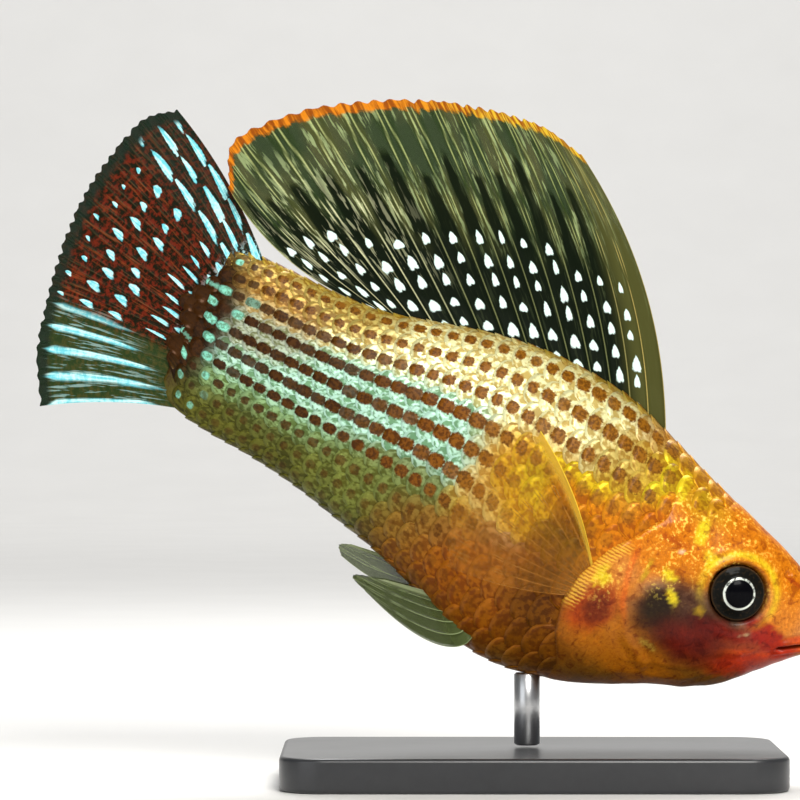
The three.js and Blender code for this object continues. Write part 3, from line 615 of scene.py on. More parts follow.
def sail_web(b):
    place = b.map("RayMap")
    phase, along, _ = b.split(place)
    lines, broad, joints, web = b.use(RAY_MARKS, Place=place)
    ray, reach = b.attribute("Ray", "Fac"), b.attribute("Reach", "Fac")
    fine = ray.step(0.6, 1.0)
    gap = (phase.part() - 0.5).size()
    spot, middle = b.use(SPOTS, Place=place, Pitch=2.75, Long=0.80, Wide=0.43, Shift=0.6, Slope=0.55)
    limit = 15.4 - (phase.floor() - 6.0).most(0.0) * 0.3
    spot = spot * (limit - middle).step(-0.01, 0.01) * phase.floor().step(0.4, 0.6) * along.step(0.3, 1.0)
    high = (reach + (broad - 0.5) * 0.35).step(0.34, 0.70)
    green = b.mix(broad.step(0.4, 0.65), (0.022, 0.040, 0.010), (0.060, 0.066, 0.018))
    ground = b.mix(high, (0.004, 0.007, 0.003), green)
    pale = lines.step(0.53, 0.62) * (0.04 + 0.8 * high) * broad.step(0.35, 0.55)
    colour = b.mix(pale * 0.8, ground, (0.36, 0.45, 0.20))
    rise = (along - limit + 1.6) / (8.0 + 5.5 * b.chance(b.join(phase.floor(), 3.5, 1.5)))
    black = (gap + rise.most(0.0) * 0.20 + (lines - 0.5) * 0.25).step(0.38, 0.26)
    black = black * rise.step(-0.15, 0.05) * rise.step(1.05, 0.88)
    colour = b.mix(black * 0.96, colour, (0.003, 0.006, 0.002))
    colour = b.mix(fine * (0.34 + 0.46 * high), colour, (0.42, 0.46, 0.18))
    rear = phase.step(8.5, 11.5) * reach.step(0.9, 0.5)
    streaked = lines.step(0.54, 0.60) * along.step(5.0, 9.0)
    colour = b.mix(rear * (fine * 0.75 + streaked * 0.35), colour, (0.60, 0.60, 0.36))
    front = phase.step(2.6, 1.2)
    colour = b.mix(front * (1.0 - fine) * 0.6, colour, (0.045, 0.060, 0.014))
    colour = b.mix(front * (0.08 + 0.80 * fine), colour, (0.44, 0.33, 0.09))
    colour = b.mix(joints * ray * 0.35, colour, (0.02, 0.022, 0.01))
    colour = b.mix(spot, colour, (0.66, 0.84, 0.78))
    rim = (reach + (web - 0.5) * 0.05 + (lines - 0.5) * 0.03).step(0.952, 0.972)
    gold = b.mix(phase.step(9.0, 3.0), (0.62, 0.20, 0.01), (0.66, 0.44, 0.03))
    gold = b.mix(lines.step(0.4, 0.6), (0.26, 0.06, 0.004), gold)
    colour = b.mix(rim * reach.step(0.2, 0.9), colour, gold)
    return {"Base Color": colour, "Roughness": 0.42 + 0.15 * web,
            "Normal": b.raise_by(ray + joints * ray * -0.4 + 0.35 * lines, 0.00008, 0.6),
            "Alpha": 1.0 - (1.0 - ray) * high * (1.0 - rim) * (1.0 - black) * 0.15}


SAIL = finish("Sail web", sail_web, Specular_IOR_Level=0.03)


def tail_web(b):
    place = b.map("RayMap")
    phase, along, _ = b.split(place)
    lines, broad, joints, web = b.use(RAY_MARKS, Place=place)
    ray, reach = b.attribute("Ray", "Fac"), b.attribute("Reach", "Fac")
    fine = ray.step(0.5, 1.0)
    ground = b.mix(web.step(0.44, 0.62), (0.008, 0.008, 0.003), (0.120, 0.014, 0.005))
    ground = b.mix(lines.step(0.54, 0.66) * 0.6, ground, (0.20, 0.045, 0.012))
    top, low = phase.step(3.8, 2.4), (phase + (broad - 0.5) * 1.5).step(10.4, 11.6)
    ground = b.mix(low * 0.8, ground, b.mix(web, (0.008, 0.02, 0.008), (0.05, 0.085, 0.02)))
    ground = b.mix(top * 0.5, ground, (0.01, 0.022, 0.014))
    colour = b.mix(fine * 0.25, ground, (0.13, 0.11, 0.05))
    glow = b.mix((lines * 0.6 + web * 0.4).step(0.42, 0.60), (0.14, 0.56, 0.64), (0.55, 0.90, 0.88))
    wave = (phase.floor() * 2.37).part() * 1.3
    marks = None
    for far_out, long, wide in ((3.4, 0.7, 0.45), (6.0, 1.1, 0.34), (11.3, 0.72, 0.62), (14.9, 0.72, 0.62),
                                (18.2, 0.36, 0.34)):
        spot, _ = b.use(SPOTS, Place=b.join(phase, along + wave), Pitch=8.0, Long=long, Wide=wide,
                        Shift=4.6 - far_out, Slope=0.0)
        spot = spot * (along + wave - 0.6 - far_out).size().step(2.4, 1.8)
        marks = spot if marks is None else marks.most(spot)
    dash, _ = b.use(SPOTS, Place=place, Pitch=4.6, Long=2.2, Wide=0.52, Shift=0.9, Slope=1.9)
    upper = phase.floor().step(2.6, 2.4)
    marks = (marks * phase.floor().step(10.6, 10.4) * (1.0 - upper)).most(upper * dash * reach.step(0.95, 0.88))
    beside = ((phase + 0.5).part() - 0.5 + (lines - 0.5) * 0.25).size()
    start = (reach + (broad - 0.5) * 0.5 + (phase - 11.0) * 0.05).step(0.28, 0.55)
    taper = (beside + (1.0 - start * reach.step(1.0, 0.88)) * 0.22).step(0.22, 0.07)
    marks = marks.most(low * taper.most(start * lines.step(0.53, 0.60) * 0.28 * reach.step(0.98, 0.9)))
    root = along.step(3.6, 0.8) * web.step(0.50, 0.58) * 0.9
    marks = marks.most(root * (1.0 - low))
    colour = b.mix(marks, colour, glow)
    edge = (reach + (broad - 0.5) * 0.04).step(0.9, 0.955)
    colour = b.mix(edge * (1.0 - marks) * 0.9, colour, (0.008, 0.018, 0.010))
    return {"Base Color": colour, "Roughness": 0.42 + 0.15 * web, "Alpha": 1.0 - edge * (1.0 - ray) * 0.10,
            "Normal": b.raise_by(ray + joints * ray * -0.4 + 0.3 * lines, 0.00008, 0.6)}


TAIL_WEB = finish("Tail web", tail_web, Specular_IOR_Level=0.03)


def clear_web(web_colour, ray_colour, lead_colour, alpha, lead_at, fade):
    """A clear web: how solid it is, where its leading ray ends, and how far the other rays fade outwards."""
    def make(b):
        place = b.map("RayMap")
        phase = b.split(place)[0]
        _, _, joints, web = b.use(RAY_MARKS, Place=place)
        ray, reach = b.attribute("Ray", "Fac"), b.attribute("Reach", "Fac")
        fine = ray.step(0.5, 1.0)
        colour = b.mix(web.step(0.4, 0.7) * 0.5, web_colour, tuple(0.5 * c for c in web_colour))
        colour = b.mix(fine * 0.9, colour, ray_colour)
        colour = b.mix(phase.step(lead_at, lead_at * 0.35) * (0.35 + 0.65 * fine), colour, lead_colour)
        colour = b.mix(joints * ray * 0.3, colour, tuple(0.3 * c for c in ray_colour))
        see = alpha + (0.80 - alpha) * fine * (1.0 - fade * reach.step(0.35, 0.85))
        see = see + reach.step(0.2, 0.0) * 0.4 + phase.step(lead_at * 0.8, 0.1) * 0.7
        return {"Base Color": colour, "Roughness": 0.35 + 0.1 * web, "Alpha": see.least(1.0),
                "Normal": b.raise_by(ray + joints * ray * -0.3, 0.00006, 0.5)}
    return make


WEB_GLOSS = dict(Coat_Weight=0.05, Coat_Roughness=0.15, Specular_IOR_Level=0.12)
PADDLE = finish("Paddle fin web", clear_web((0.40, 0.16, 0.02), (0.42, 0.17, 0.02), (0.92, 0.66, 0.04), 0.10, 0.9,
                                            0.85), **WEB_GLOSS)
BELLY_WEB = finish("Belly fin web", clear_web((0.060, 0.080, 0.02), (0.30, 0.36, 0.17), (0.42, 0.47, 0.27), 0.68,
                                              0.9, 0.0), **WEB_GLOSS)


def eye_paint(b):
    far, turn, _ = b.split(b.map("IrisMap"))
    fleck = b.noise(b.place(), 2400.0, 3.0, 0.6)
    # The silver ring is broken up by flecks and filled out at its bottom, where a painted highlight stands for the
    # light it catches.
    shown_with_highlight = (fleck + (turn - 0.75).size().step(0.3, 0.05) * 0.25).step(0.42, 0.58)
    ring = (far - 0.56).size().step(0.055, 0.025) * (0.15 + 0.85 * shown_with_highlight)
    iris = b.mix(fleck.step(0.5, 0.75) * 0.5, (0.006, 0.006, 0.005), (0.05, 0.03, 0.012))
    colour = b.mix(far.step(0.50, 0.53), (0.002, 0.002, 0.003), iris)
    colour = b.mix(ring, colour, (0.80, 0.84, 0.76))
    colour = b.mix(far.step(0.93, 1.0) * 0.6, colour, (0.10, 0.05, 0.02))
    return {"Base Color": colour, "Roughness": 0.25 + 0.15 * far.step(0.5, 0.56), "Metallic": ring * 0.5}


EYE = finish("Eye", eye_paint, Coat_Weight=0.06, Coat_Roughness=0.03, Specular_IOR_Level=0.02)


def plate_paint(b):
    place = b.place()
    grain = b.noise(place, 900.0, 4.0, 0.6)
    broad = b.noise(place, 60.0, 2.0)
    colour = b.mix(grain, (0.018, 0.019, 0.021), (0.030, 0.031, 0.034))
    return {"Base Color": colour, "Roughness": 0.30 + 0.12 * broad, "Normal": b.raise_by(grain, 0.00002, 0.3)}


PLATE = finish("Satin plate", plate_paint, Coat_Weight=0.2, Coat_Roughness=0.25)


def rod_paint(b):
    x, y, z = b.split(b.place())
    rings = b.noise(b.join(x * 0.1, y * 0.1, z * 60.0), 160.0, 3.0, 0.6)
    return {"Base Color": b.mix(rings, (0.50, 0.51, 0.52), (0.66, 0.66, 0.67)), "Roughness": 0.22 + 0.16 * rings,
            "Normal": b.raise_by(rings, 0.00001, 0.4)}


ROD = finish("Brushed rod", rod_paint, Metallic=1.0)


# Skin
RING_POINTS = 192
HEAD_STEP, BODY_STEP = 0.17, 0.42
SKIN_SINK = -0.15  # under the scales
mouth_share = np.linspace(-1, 1, 61)
mouth_back = np.abs(mouth_share) ** 1.7
MOUTH = skin_at(MOUTH_FRONT[0] + (MOUTH_CORNER[0] - MOUTH_FRONT[0]) * mouth_back,
                MOUTH_FRONT[1] + (MOUTH_CORNER[1] - MOUTH_FRONT[1]) * mouth_back ** 1.3, np.sign(mouth_share))


def flap_share(z):
    """How much of the gill cover's free edge there is at a level."""
    return smooth(9.0, 5.0, z) * smooth(-17.5, -13.5, z)


def skin_relief(points):
    """How far the head's forms stand out of the plain body."""
    x, z = points[:, 0], points[:, 2]
    ahead = x - line_x(GILL_EDGE, z)
    lift = 0.38 * flap_share(z) * smooth(5.0, 0.3, ahead) * smooth(-0.12, 0.08, ahead)
    groove = -0.45 * flap_share(z) * bump(ahead + 0.3, 0.25)
    ring = np.hypot(x - EYE_X, z - EYE_Z)
    rim = 0.34 * bump(ring - ORBIT_RIM, 0.48) - 1.5 * smooth(3.5, 2.9, ring)
    brow = 0.12 * bump(ring - 4.9, 0.5)
    far, along = to_line(MOUTH, points)
    fade = smooth(-4.6, -3.0, x)
    lips = fade * (0.42 * bump(far - 0.55, 0.36) - 0.15 * bump(far - 1.15, 0.25)) - 0.9 * fade * bump(far, 0.15)
    ridge, _ = to_line(CHEEK_RIDGE, points[:, [0, 2]])
    cheek = 0.15 * bump(ridge, 0.5) - 0.10 * bump(ridge - 1.0, 0.5)
    pits = 0
    for nx, nz, radius in NOSTRILS:
        off = np.hypot(x - nx, z - nz)
        pits = pits - 0.45 * bump(off, radius * 0.8) + 0.05 * bump(off - radius * 1.6, 0.2)
    chin = 0
    for low in (-8.6, -10.2, -11.6):
        line, _ = to_line([(-5.5 + 0.2 * low, low + 3.0), (-12, low - 1.2), (-19, low - 3.6)], points[:, [0, 2]])
        chin = chin + 0.07 * bump(line, 0.3)
    jaw, _ = to_line([(-3.6, -3.3), (-6.5, -5.4), (-9.5, -7.4)], points[:, [0, 2]])
    soft = 0.12 * (cloud(points, 1.6, 5) - 0.5) * smooth(-26, -20, x)
    return lift + groove + rim + brow + lips + cheek + pits + chin - 0.14 * bump(jaw, 0.3) + soft


def grid_normals(points):
    """The outward directions of the skin's lattice, which closes on itself across."""
    normal = np.cross(np.roll(points, -1, 1) - np.roll(points, 1, 1), np.gradient(points, axis=0))
    normal = normal / np.maximum(np.linalg.norm(normal, axis=-1, keepdims=True), 1e-9)
    return normal * np.sign((normal[..., 1] * points[..., 1]).sum())


def make_skin():
    """One skin from the lips to the tail fin's root, in place of head, torso and tail."""
    places = np.concatenate([np.linspace(0.02, 4, 74, endpoint=False),
                             row_at(np.arange(-4.6, -30, -HEAD_STEP)), row_at(np.arange(-30, -81.2, -BODY_STEP)),
                             [len(SECTIONS) - 1.0]])
    turns = 2 * math.pi * np.arange(RING_POINTS) / RING_POINTS
    at, turn = np.meshgrid(places, turns, indexing="ij")
    base = skin_point(at, turn)
    flat = base.reshape(-1, 3)
    sink = SKIN_SINK * smooth(0.8, -1.2, base[..., 0] - line_x(SCALE_FRONT, base[..., 2]))
    relief = skin_relief(flat).reshape(at.shape) + sink
    points = base + grid_normals(base) * relief[..., None]
    rows, columns = points.shape[:2]
    index, corners = patch(rows, columns, closed=True)
    ends = [points[0].mean(0), points[-1].mean(0)]
    verts = np.concatenate([points.reshape(-1, 3), ends])
    faces, maps = list(index), [(corners / (rows - 1, columns)).reshape(-1, 2)]
    for ring, hub, order in ((0, rows * columns, 1), (rows - 1, rows * columns + 1, -1)):
        for j in range(columns):
            face = [ring * columns + j, ring * columns + (j + 1) % columns, hub]
            faces.append(face[::order])
            maps.append([(ring / (rows - 1), (j + step) / columns) for step in (0, 1, 0.5)][::order])
    x, z = verts[:, 0], verts[:, 2]
    gill_line = np.array(GILL_EDGE[1:-1])
    run = np.concatenate([[0], np.cumsum(np.hypot(*np.diff(gill_line, axis=0).T))])
    plain_x, level = np.append(flat[:, 0], [0, -80]), np.append(flat[:, 2], [0, 0])
    gill = np.stack([plain_x - line_x(GILL_EDGE, level), np.interp(-level, -gill_line[:, 1], run)], -1)
    ground = markings(np.concatenate([flat, ends]))
    lipped = np.append(to_line(MOUTH, flat)[0], [9, 9])
    ground = tint(ground, 0.8 * (1 - smooth(0.9, 1.6, lipped)) * smooth(-5.5, -3.2, x), "lip")
    # Painted shade: the skin darkened along the mouth's gap and in the groove just past the gill cover's free edge.
    slit_shade = (1 - smooth(0.05, 0.28, lipped)) * smooth(-4.6, -3.6, x)
    crease_shade = flap_share(z) * bump(x - line_x(GILL_EDGE, z) + 0.25, 0.22)
    ground = ground * (1 - 0.9 * slit_shade[:, None]) * (1 - 0.75 * crease_shade[:, None])
    gilt = smooth(-1, 3, z) * (0.9 - 0.6 * smooth(-16, -9, x)) + 0.8 * bump(x + 19.5, 2.6) * bump(z + 1.5, 2.0)
    gilt = gilt + 0.6 * bump(x + 25.0, 1.6) * bump(z + 4.5, 3.0)
    return build("skin", posed(verts), faces,
                 {"OFBake": np.concatenate(maps) * 0.98 + 0.01, "GillMap": gill[np.concatenate(faces)]},
                 {"Gilt": gilt}, {"Ground": ground}, flip=True, material=SKIN)


finish_piece(make_skin(), "head", "head", "torso", "tail")

# Scales
COLUMN_START = -26.0
PITCH_FRONT, PITCH_REAR = 2.12, 1.78
PITCH_SLOPE = (PITCH_FRONT - PITCH_REAR) / 50
PITCH_ZERO = PITCH_FRONT - PITCH_SLOPE * -27
ROWS, COLUMNS = 11, range(-7, 33)
ROOT_REACH, EDGE_REACH, HALF_WIDTH = -1.5, 0.58, 0.72
MAP_SCALE, MAP_SHIFT = 1 / 48, 0.3  # keep the columns and rows of the lie inside a unit square


def column_of(x):
    """The column of scales at x; the scales are shorter towards the tail."""
    return -np.log((PITCH_ZERO + PITCH_SLOPE * x) / (PITCH_ZERO + PITCH_SLOPE * COLUMN_START)) / PITCH_SLOPE


def x_of(column):
    """The way back from column_of()."""
    return ((PITCH_ZERO + PITCH_SLOPE * COLUMN_START) * np.exp(-PITCH_SLOPE * column) - PITCH_ZERO) / PITCH_SLOPE


def row_turns(at, rows):
    """The turn at which each row of scales lies, so that rows are evenly spaced round the body."""
    fine = np.linspace(0, math.pi, 361)
    points = skin_point(np.full(fine.shape, at), fine)
    length = np.concatenate([[0], np.cumsum(np.linalg.norm(np.diff(points, axis=0), axis=1))])
    share = np.asarray(rows, float) / ROWS
    inner = np.interp(1 - np.abs(1 - np.abs(share)), length / length[-1], fine)
    return np.sign(share) * np.where(np.abs(share) > 1, 2 * math.pi - inner, inner)


def lie_sheet():
    """The surface that scales follow, mapped in columns and rows. It isn't shown."""
    columns = np.linspace(column_of(-12.0), column_of(-85.5), 200)
    rows = np.linspace(-ROWS - 1.2, ROWS + 1.2, 300)
    places = row_at(x_of(columns))
    turns = np.stack([row_turns(at, rows) for at in places])
    points = skin_point(np.repeat(places[:, None], len(rows), 1), turns, SKIN_SINK)
    points[..., 0] = x_of(columns)[:, None]
    index, corners = patch(len(columns), len(rows))
    i, j = corners[..., 0].astype(int), corners[..., 1].astype(int)
    place = np.stack([columns[i], rows[j]], -1) * MAP_SCALE + MAP_SHIFT
    return build("lie_sheet", posed(points.reshape(-1, 3)), list(index), {"LieMap": place.reshape(-1, 2)}, flip=True)


def scale_plate(along=5, across=8):
    """One scale in columns and rows: a curved plate, thick at its round hind edge, buried at its root."""
    s = np.linspace(0, 1, along + 1)
    t = np.linspace(-1, 1, across + 1)
    S, T = np.meshgrid(s, t, indexing="ij")
    edge = EDGE_REACH - 0.95 * (1 - np.sqrt(1 - np.abs(T) ** 2.4))
    u = ROOT_REACH + (edge - ROOT_REACH) * S
    rise = (u - ROOT_REACH) / (EDGE_REACH - ROOT_REACH)
    lift = -0.10 + 0.28 * rise + 0.045 * (1 - T ** 2) * rise
    top = np.stack([u, HALF_WIDTH * T, lift], -1)
    under = top.copy()
    under[..., 2] -= 0.07 + 0.10 * (1 - S)
    points = np.concatenate([top.reshape(-1, 3), under[-1], under[0]])
    index, corners = patch(along + 1, across + 1)
    faces, maps = list(index), [corners.reshape(-1, 2) / (along, across)]
    count = (along + 1) * (across + 1)
    rear = along * (across + 1)
    for j in range(across):
        faces.append([rear + j, count + j, count + j + 1, rear + j + 1])
        faces.append([count + j, count + across + 1 + j, count + across + 2 + j, count + j + 1])
        faces.append([j + 1, count + across + 2 + j, count + across + 1 + j, j])
        maps += [[(1, j / across)] * 2 + [(1, (j + 1) / across)] * 2] * 3
    for place, way in ((0, 1), (across, -1)):
        levels, beside = range(along, -1, -1), place / across
        face = [count + place] + [i * (across + 1) + place for i in levels] + [count + across + 1 + place]
        faces.append(face[::way])
        maps.append(([(1, beside)] + [(i / along, beside) for i in levels] + [(0, beside)])[::way])
    return build("scale_plate", points, faces, {"ScaleMap": np.concatenate(maps)}, flip=True)


def lattice_points(side):
    """Where the scales of one side sit, in columns and rows; the right side also has the row along the back."""
    found = []
    rows = range(0, ROWS + 1) if side < 0 else range(1, ROWS)
    for row in rows:
        for column in COLUMNS:
            u = column + 0.5 * (row % 2)
            x = float(x_of(u))
            turn = float(row_turns(float(row_at(x)), [row])[0])
            z = float(skin_point(row_at(x), turn)[2])
            if x > line_x(SCALE_FRONT, z) - 0.2 or x < -83.0 + 0.045 * z * z:
                continue
            found.append((u, side * row, -0.09 * float(smooth(-27, -20, x))))
    return found


def scale_tree():
    """Lays a plate on each point and wraps it on the surface whose map it reads."""
    tree = bpy.data.node_groups.new("Lay scales", "GeometryNodeTree")
    for label, kind in (("Points", "Geometry"), ("Plate", "Object"), ("Surface", "Object"), ("Thickness", "Float"),
                        ("Unevenness", "Float"), ("Seed", "Int"), ("Finish", "Material")):
        tree.interface.new_socket(label, in_out="INPUT", socket_type="NodeSocket" + kind)
    tree.interface.new_socket("Scales", in_out="OUTPUT", socket_type="NodeSocketGeometry")
    b = Bench(tree)
    given = {socket.name: Wire(tree, socket) for socket in tree.nodes.new("NodeGroupInput").outputs}
    plate = b.node("GeometryNodeObjectInfo", {"Object": given["Plate"], "As Instance": True}, "Geometry")
    surface = b.node("GeometryNodeObjectInfo", {"Object": given["Surface"]}, "Geometry")
    least, most = [b.join(size, 1.0, size) for size in (1.0 - given["Unevenness"], given["Unevenness"] + 1.0)]
    vary = b.node("FunctionNodeRandomValue", {0: least, 1: most, "Seed": given["Seed"]}, data_type="FLOAT_VECTOR")
    laid = b.node("GeometryNodeInstanceOnPoints", {"Points": given["Points"], "Instance": plate, "Scale": vary})
    real = b.node("GeometryNodeRealizeInstances", {0: laid})
    here = b.node("GeometryNodeInputPosition", {})
    flat = b.node("ShaderNodeVectorMath", {0: here, 1: (MAP_SCALE, MAP_SCALE, 0), 2: (MAP_SHIFT, MAP_SHIFT, 0)},
                  operation="MULTIPLY_ADD")
    lie = b.node("GeometryNodeInputNamedAttribute", {"Name": "LieMap"}, "Attribute", data_type="FLOAT_VECTOR")
    ground, normal = [b.node("GeometryNodeSampleUVSurface", {"Mesh": surface, "Value": b.node(kind, {}),
                                                             "UV Map": lie, "Sample UV": flat},
                             "Value", data_type="FLOAT_VECTOR")
                      for kind in ("GeometryNodeInputPosition", "GeometryNodeInputNormal")]
    raised = b.node("ShaderNodeVectorMath", {0: normal, "Scale": b.split(here)[2] * given["Thickness"]},
                    operation="SCALE")
    wrapped = b.node("ShaderNodeVectorMath", {0: ground, 1: raised})
    moved = b.node("GeometryNodeSetPosition", {"Geometry": real, "Position": wrapped})
    painted = b.node("GeometryNodeSetMaterial", {"Geometry": moved, "Material": given["Finish"]})
    tree.links.new(painted.socket, tree.nodes.new("NodeGroupOutput").inputs[0])
    return tree


def grown(host, tree, values):
    """Runs a node tree on an object and gives back the plain mesh that it makes."""
    modifier = host.modifiers.new("grow", "NODES")
    modifier.node_group = tree
    for item in tree.interface.items_tree:
        if item.in_out == "INPUT" and item.name in values:
            modifier[item.identifier] = values[item.name]
    bpy.context.view_layer.update()
    mesh = bpy.data.meshes.new_from_object(host.evaluated_get(bpy.context.evaluated_depsgraph_get()))
    host.modifiers.remove(modifier)
    return mesh


def read(items, label, wide=1, kind=float):
    """One property of every item of a mesh, as rows."""
    found = np.empty(len(items) * wide, dtype=kind)
    items.foreach_get(label, found)
    return found.reshape(-1, wide) if wide > 1 else found


def spot_ink(points):
    """Colour, strength and length of the spot in the middle of each scale."""
    x, z = points[:, 0], points[:, 2]
    colour = graded(x, [(-79, "umber"), (-62, "bark"), (-50, "rust"), (-42, "ochre"), (-30, "ochre")])
    colour = tint(colour, 0.7 * smooth(3, 8, z), "ochre")
    colour = tint(colour, 0.65 * smooth(-4.0, -9.0, z), "bark")
    strength = 1.0 - 0.35 * smooth(-5, -9, z) - 0.3 * smooth(-9.5, -12, z)
    strength = strength * (1 - 0.6 * smooth(-43, -36, x) * smooth(5, 1, z)) * (1 - 0.85 * smooth(-25, -21, x))
    middle = smooth(7.5, 4.0, z) * smooth(-6, -3, z) * smooth(-42, -46, x)
    size = 1.0 + 0.7 * middle + 0.40 * smooth(-44, -34, x) * smooth(4, 8, z) - 0.2 * smooth(-6, -10, z)
    root = smooth(-75.0, -77.0, x)
    colour = tint(tint(colour, root, "umber"), root * (cloud(points, 1.3, 6) > 0.44), "sky")
    return colour, strength * (1 - 0.1 * root), size * (1 - 0.2 * root)


def make_scales():
    """Two coats of solid scales over the skin, one for each side, with the skin's own markings."""
    sheet, plate, tree = lie_sheet(), scale_plate(), scale_tree()
    for side, name in ((-1, "scales_right"), (1, "scales_left")):
        spots = np.array(lattice_points(side))
        host = build("scale_points", spots, [], values={"number": np.arange(len(spots))})
        mesh = grown(host, tree, {"Plate": plate, "Surface": sheet, "Thickness": MM, "Unevenness": 0.05, "Seed": 3,
                                  "Finish": SCALE})
        bpy.data.objects.remove(host)
        mesh.name = name
        at = level_frame(read(mesh.vertices, "co", 3))
        number = np.rint(read(mesh.attributes["number"].data, "value")).astype(int)
        centre = np.stack([skin_point(row_at(x_of(u)), row_turns(float(row_at(x_of(u))), [v])[0])
                           for u, v, _ in spots])
        luck = np.random.RandomState(5 + side).rand(len(spots), 2)
        ground = markings(0.6 * at + 0.4 * centre[number]) * (0.88 + 0.24 * luck[number, :1])
        colour, strength, size = spot_ink(centre)
        strength = np.clip(strength * (0.95 + 0.1 * luck[:, 1]), 0, 1)
        size = size * (0.88 + 0.24 * luck[:, 0])
        add_values(mesh, {"SpotAmount": strength[number], "SpotSize": size[number]},
                   {"Ground": ground, "Spot": colour[number]})
        mine = number[read(mesh.loops, "vertex_index", kind=int)]
        cells = math.ceil(math.sqrt(len(spots)))
        cell = np.stack([mine % cells, mine // cells], -1)
        within = read(mesh.uv_layers["ScaleMap"].data, "uv", 2, np.float32)
        add_map(mesh, "OFBake", (cell + 0.06 + 0.88 * within) / cells)
        mesh.attributes.remove(mesh.attributes["number"])
        finish_piece(show(name, mesh), "scales")
    for helper in (sheet, plate):
        bpy.data.objects.remove(helper)


make_scales()

# Fins
SAIL_FIN = dict(
    rays=16, base=[(-26.6, 13.0), (-31.5, 14.0), (-36.5, 14.5), (-41.5, 14.4), (-46.5, 13.8), (-51.5, 12.6),
                   (-56.5, 11.1), (-60.5, 10.2), (-63.5, 9.9)],
    margin=[(-50.5, 37.1), (-55.6, 37.9), (-60.2, 37.3), (-65.3, 35.9), (-70.2, 33.9), (-76.0, 30.6), (-82.0, 26.0),
            (-86.9, 19.6), (-84.9, 14.4)],
    bulge=[2.6, 2.2, 1.4, 0.8, 0.5, 0.2, -0.1, -0.8, -2.0], skew=1.0,
    sway=lambda t, r: -1.5 * t * t * r * r + 0.5 * np.sin(math.pi * t) * r,
    web=0.075, root=0.5, ridge=0.20, scallop=0.5)
TAIL_FIN = dict(
    rays=16, base=[(-77.4, 8.9), (-78.6, 6.6), (-79.3, 4.2), (-79.7, 1.8), (-79.8, -0.6), (-79.6, -3.0),
                   (-79.0, -5.4), (-78.0, -7.8), (-75.8, -10.3)],
    margin=[(-94.6, 19.7), (-97.6, 16.8), (-98.9, 11.8), (-99.5, 6.9), (-99.3, 2.0), (-98.5, -2.9), (-97.3, -7.8),
            (-95.7, -12.8), (-92.3, -18.3)],
    bulge=[0.9, 0.7, 0.5, 0.3, 0, 0.2, 0.4, 0.6, 0.8], skew=1.0,
    sway=lambda t, r: 1.3 * np.cos(math.pi * t) * r * r + 0.5 * r,
    web=0.075, root=0.5, ridge=0.17, scallop=0.4)
PADDLE_FIN = dict(
    rays=11, base=[(-27.2, -4.6), (-28.0, -6.4), (-28.0, -8.6)],
    margin=[(-39.9, 6.4), (-43.9, -0.2), (-44.6, -6.4), (-42.2, -12.2)],
    bulge=[0.9, 0.2, -0.2, -0.7], skew=1.0,
    sway=lambda t, r: -7.4 - 5.0 * r + 1.5 * r * r + 0.7 * t * r,
    web=0.05, root=0.32, ridge=0.13, scallop=0.5)
BELLY_FIN = dict(
    rays=6, base=[(-41.2, -15.9), (-38.4, -16.8), (-35.4, -18.2)],
    margin=[(-47.6, -17.3), (-51.0, -18.6), (-48.9, -19.4)], bulge=[0.1, -1.0, -2.5], skew=0.6,
    sway=lambda t, r: -2.5 + 0.7 * r - 0.3 * t * (1 - r),
    web=0.06, root=0.35, ridge=0.13, scallop=0.25)
ROD_FIN = dict(
    rays=4, base=[(-45.8, -14.4), (-44.2, -15.0), (-42.2, -15.7)],
    margin=[(-52.9, -15.5), (-54.1, -16.2), (-53.3, -17.2)], bulge=[0.1, -0.5, -1.5], skew=0.7,
    sway=lambda t, r: 0 * t * r,
    web=0.22, root=0.5, ridge=0.16, scallop=0.15)


def spread(rows, t):
    """A smooth row of a fin's table read at t, 0 at its leading ray and 1 at its last."""
    rows = np.asarray(rows, float)
    if rows.ndim == 1:
        rows = rows[:, None]
    return between(rows, t * (len(rows) - 1))


def fin_point(fin, t, r):
    """The middle of a fin's web at t across its rays and r out from its root."""
    base, tip, bulge = spread(fin["base"], t), spread(fin["margin"], t), spread(fin["bulge"], t)[..., 0]
    run = tip - base
    length = np.hypot(run[..., 0], run[..., 1])
    bow = np.clip(r, 0, 2) ** fin["skew"]
    share = 4 * bow * (1 - bow) * bulge
    x = base[..., 0] + run[..., 0] * r + run[..., 1] / length * share
    z = base[..., 1] + run[..., 1] * r - run[..., 0] / length * share
    return np.stack([x, fin["sway"](t, r), z], -1)


def fin_normal(fin, t, r):
    step = 0.004
    along = fin_point(fin, t, r + step) - fin_point(fin, t, r - np.minimum(step, r))
    across = fin_point(fin, np.minimum(t + step, 1), r) - fin_point(fin, np.maximum(t - step, 0), r)
    normal = np.cross(along, across)
    normal /= np.maximum(np.linalg.norm(normal, axis=-1, keepdims=True), 1e-9)
    return normal * np.where(normal[..., 1:2] < 0, -1, 1)


def ray_height(phase, r, last):
    """The swell of the rays: each one forks, and forks again, on its way to the margin."""
    total = np.zeros_like(phase)
    near = np.rint(phase)
    off = phase - near
    first = 0.15 * smooth(0.34, 0.75, r)
    second = 0.075 * smooth(0.68, 1.0, r)
    width = 0.085 - 0.045 * r
    for a in (-1, 1):
        for b in (-1, 1):
            total = np.maximum(total, bump(off - a * first - b * second, width))
    ends = (near < 0.5) | (near > last - 0.5)
    return np.where(ends, bump(off, 0.10 - 0.03 * r), total)


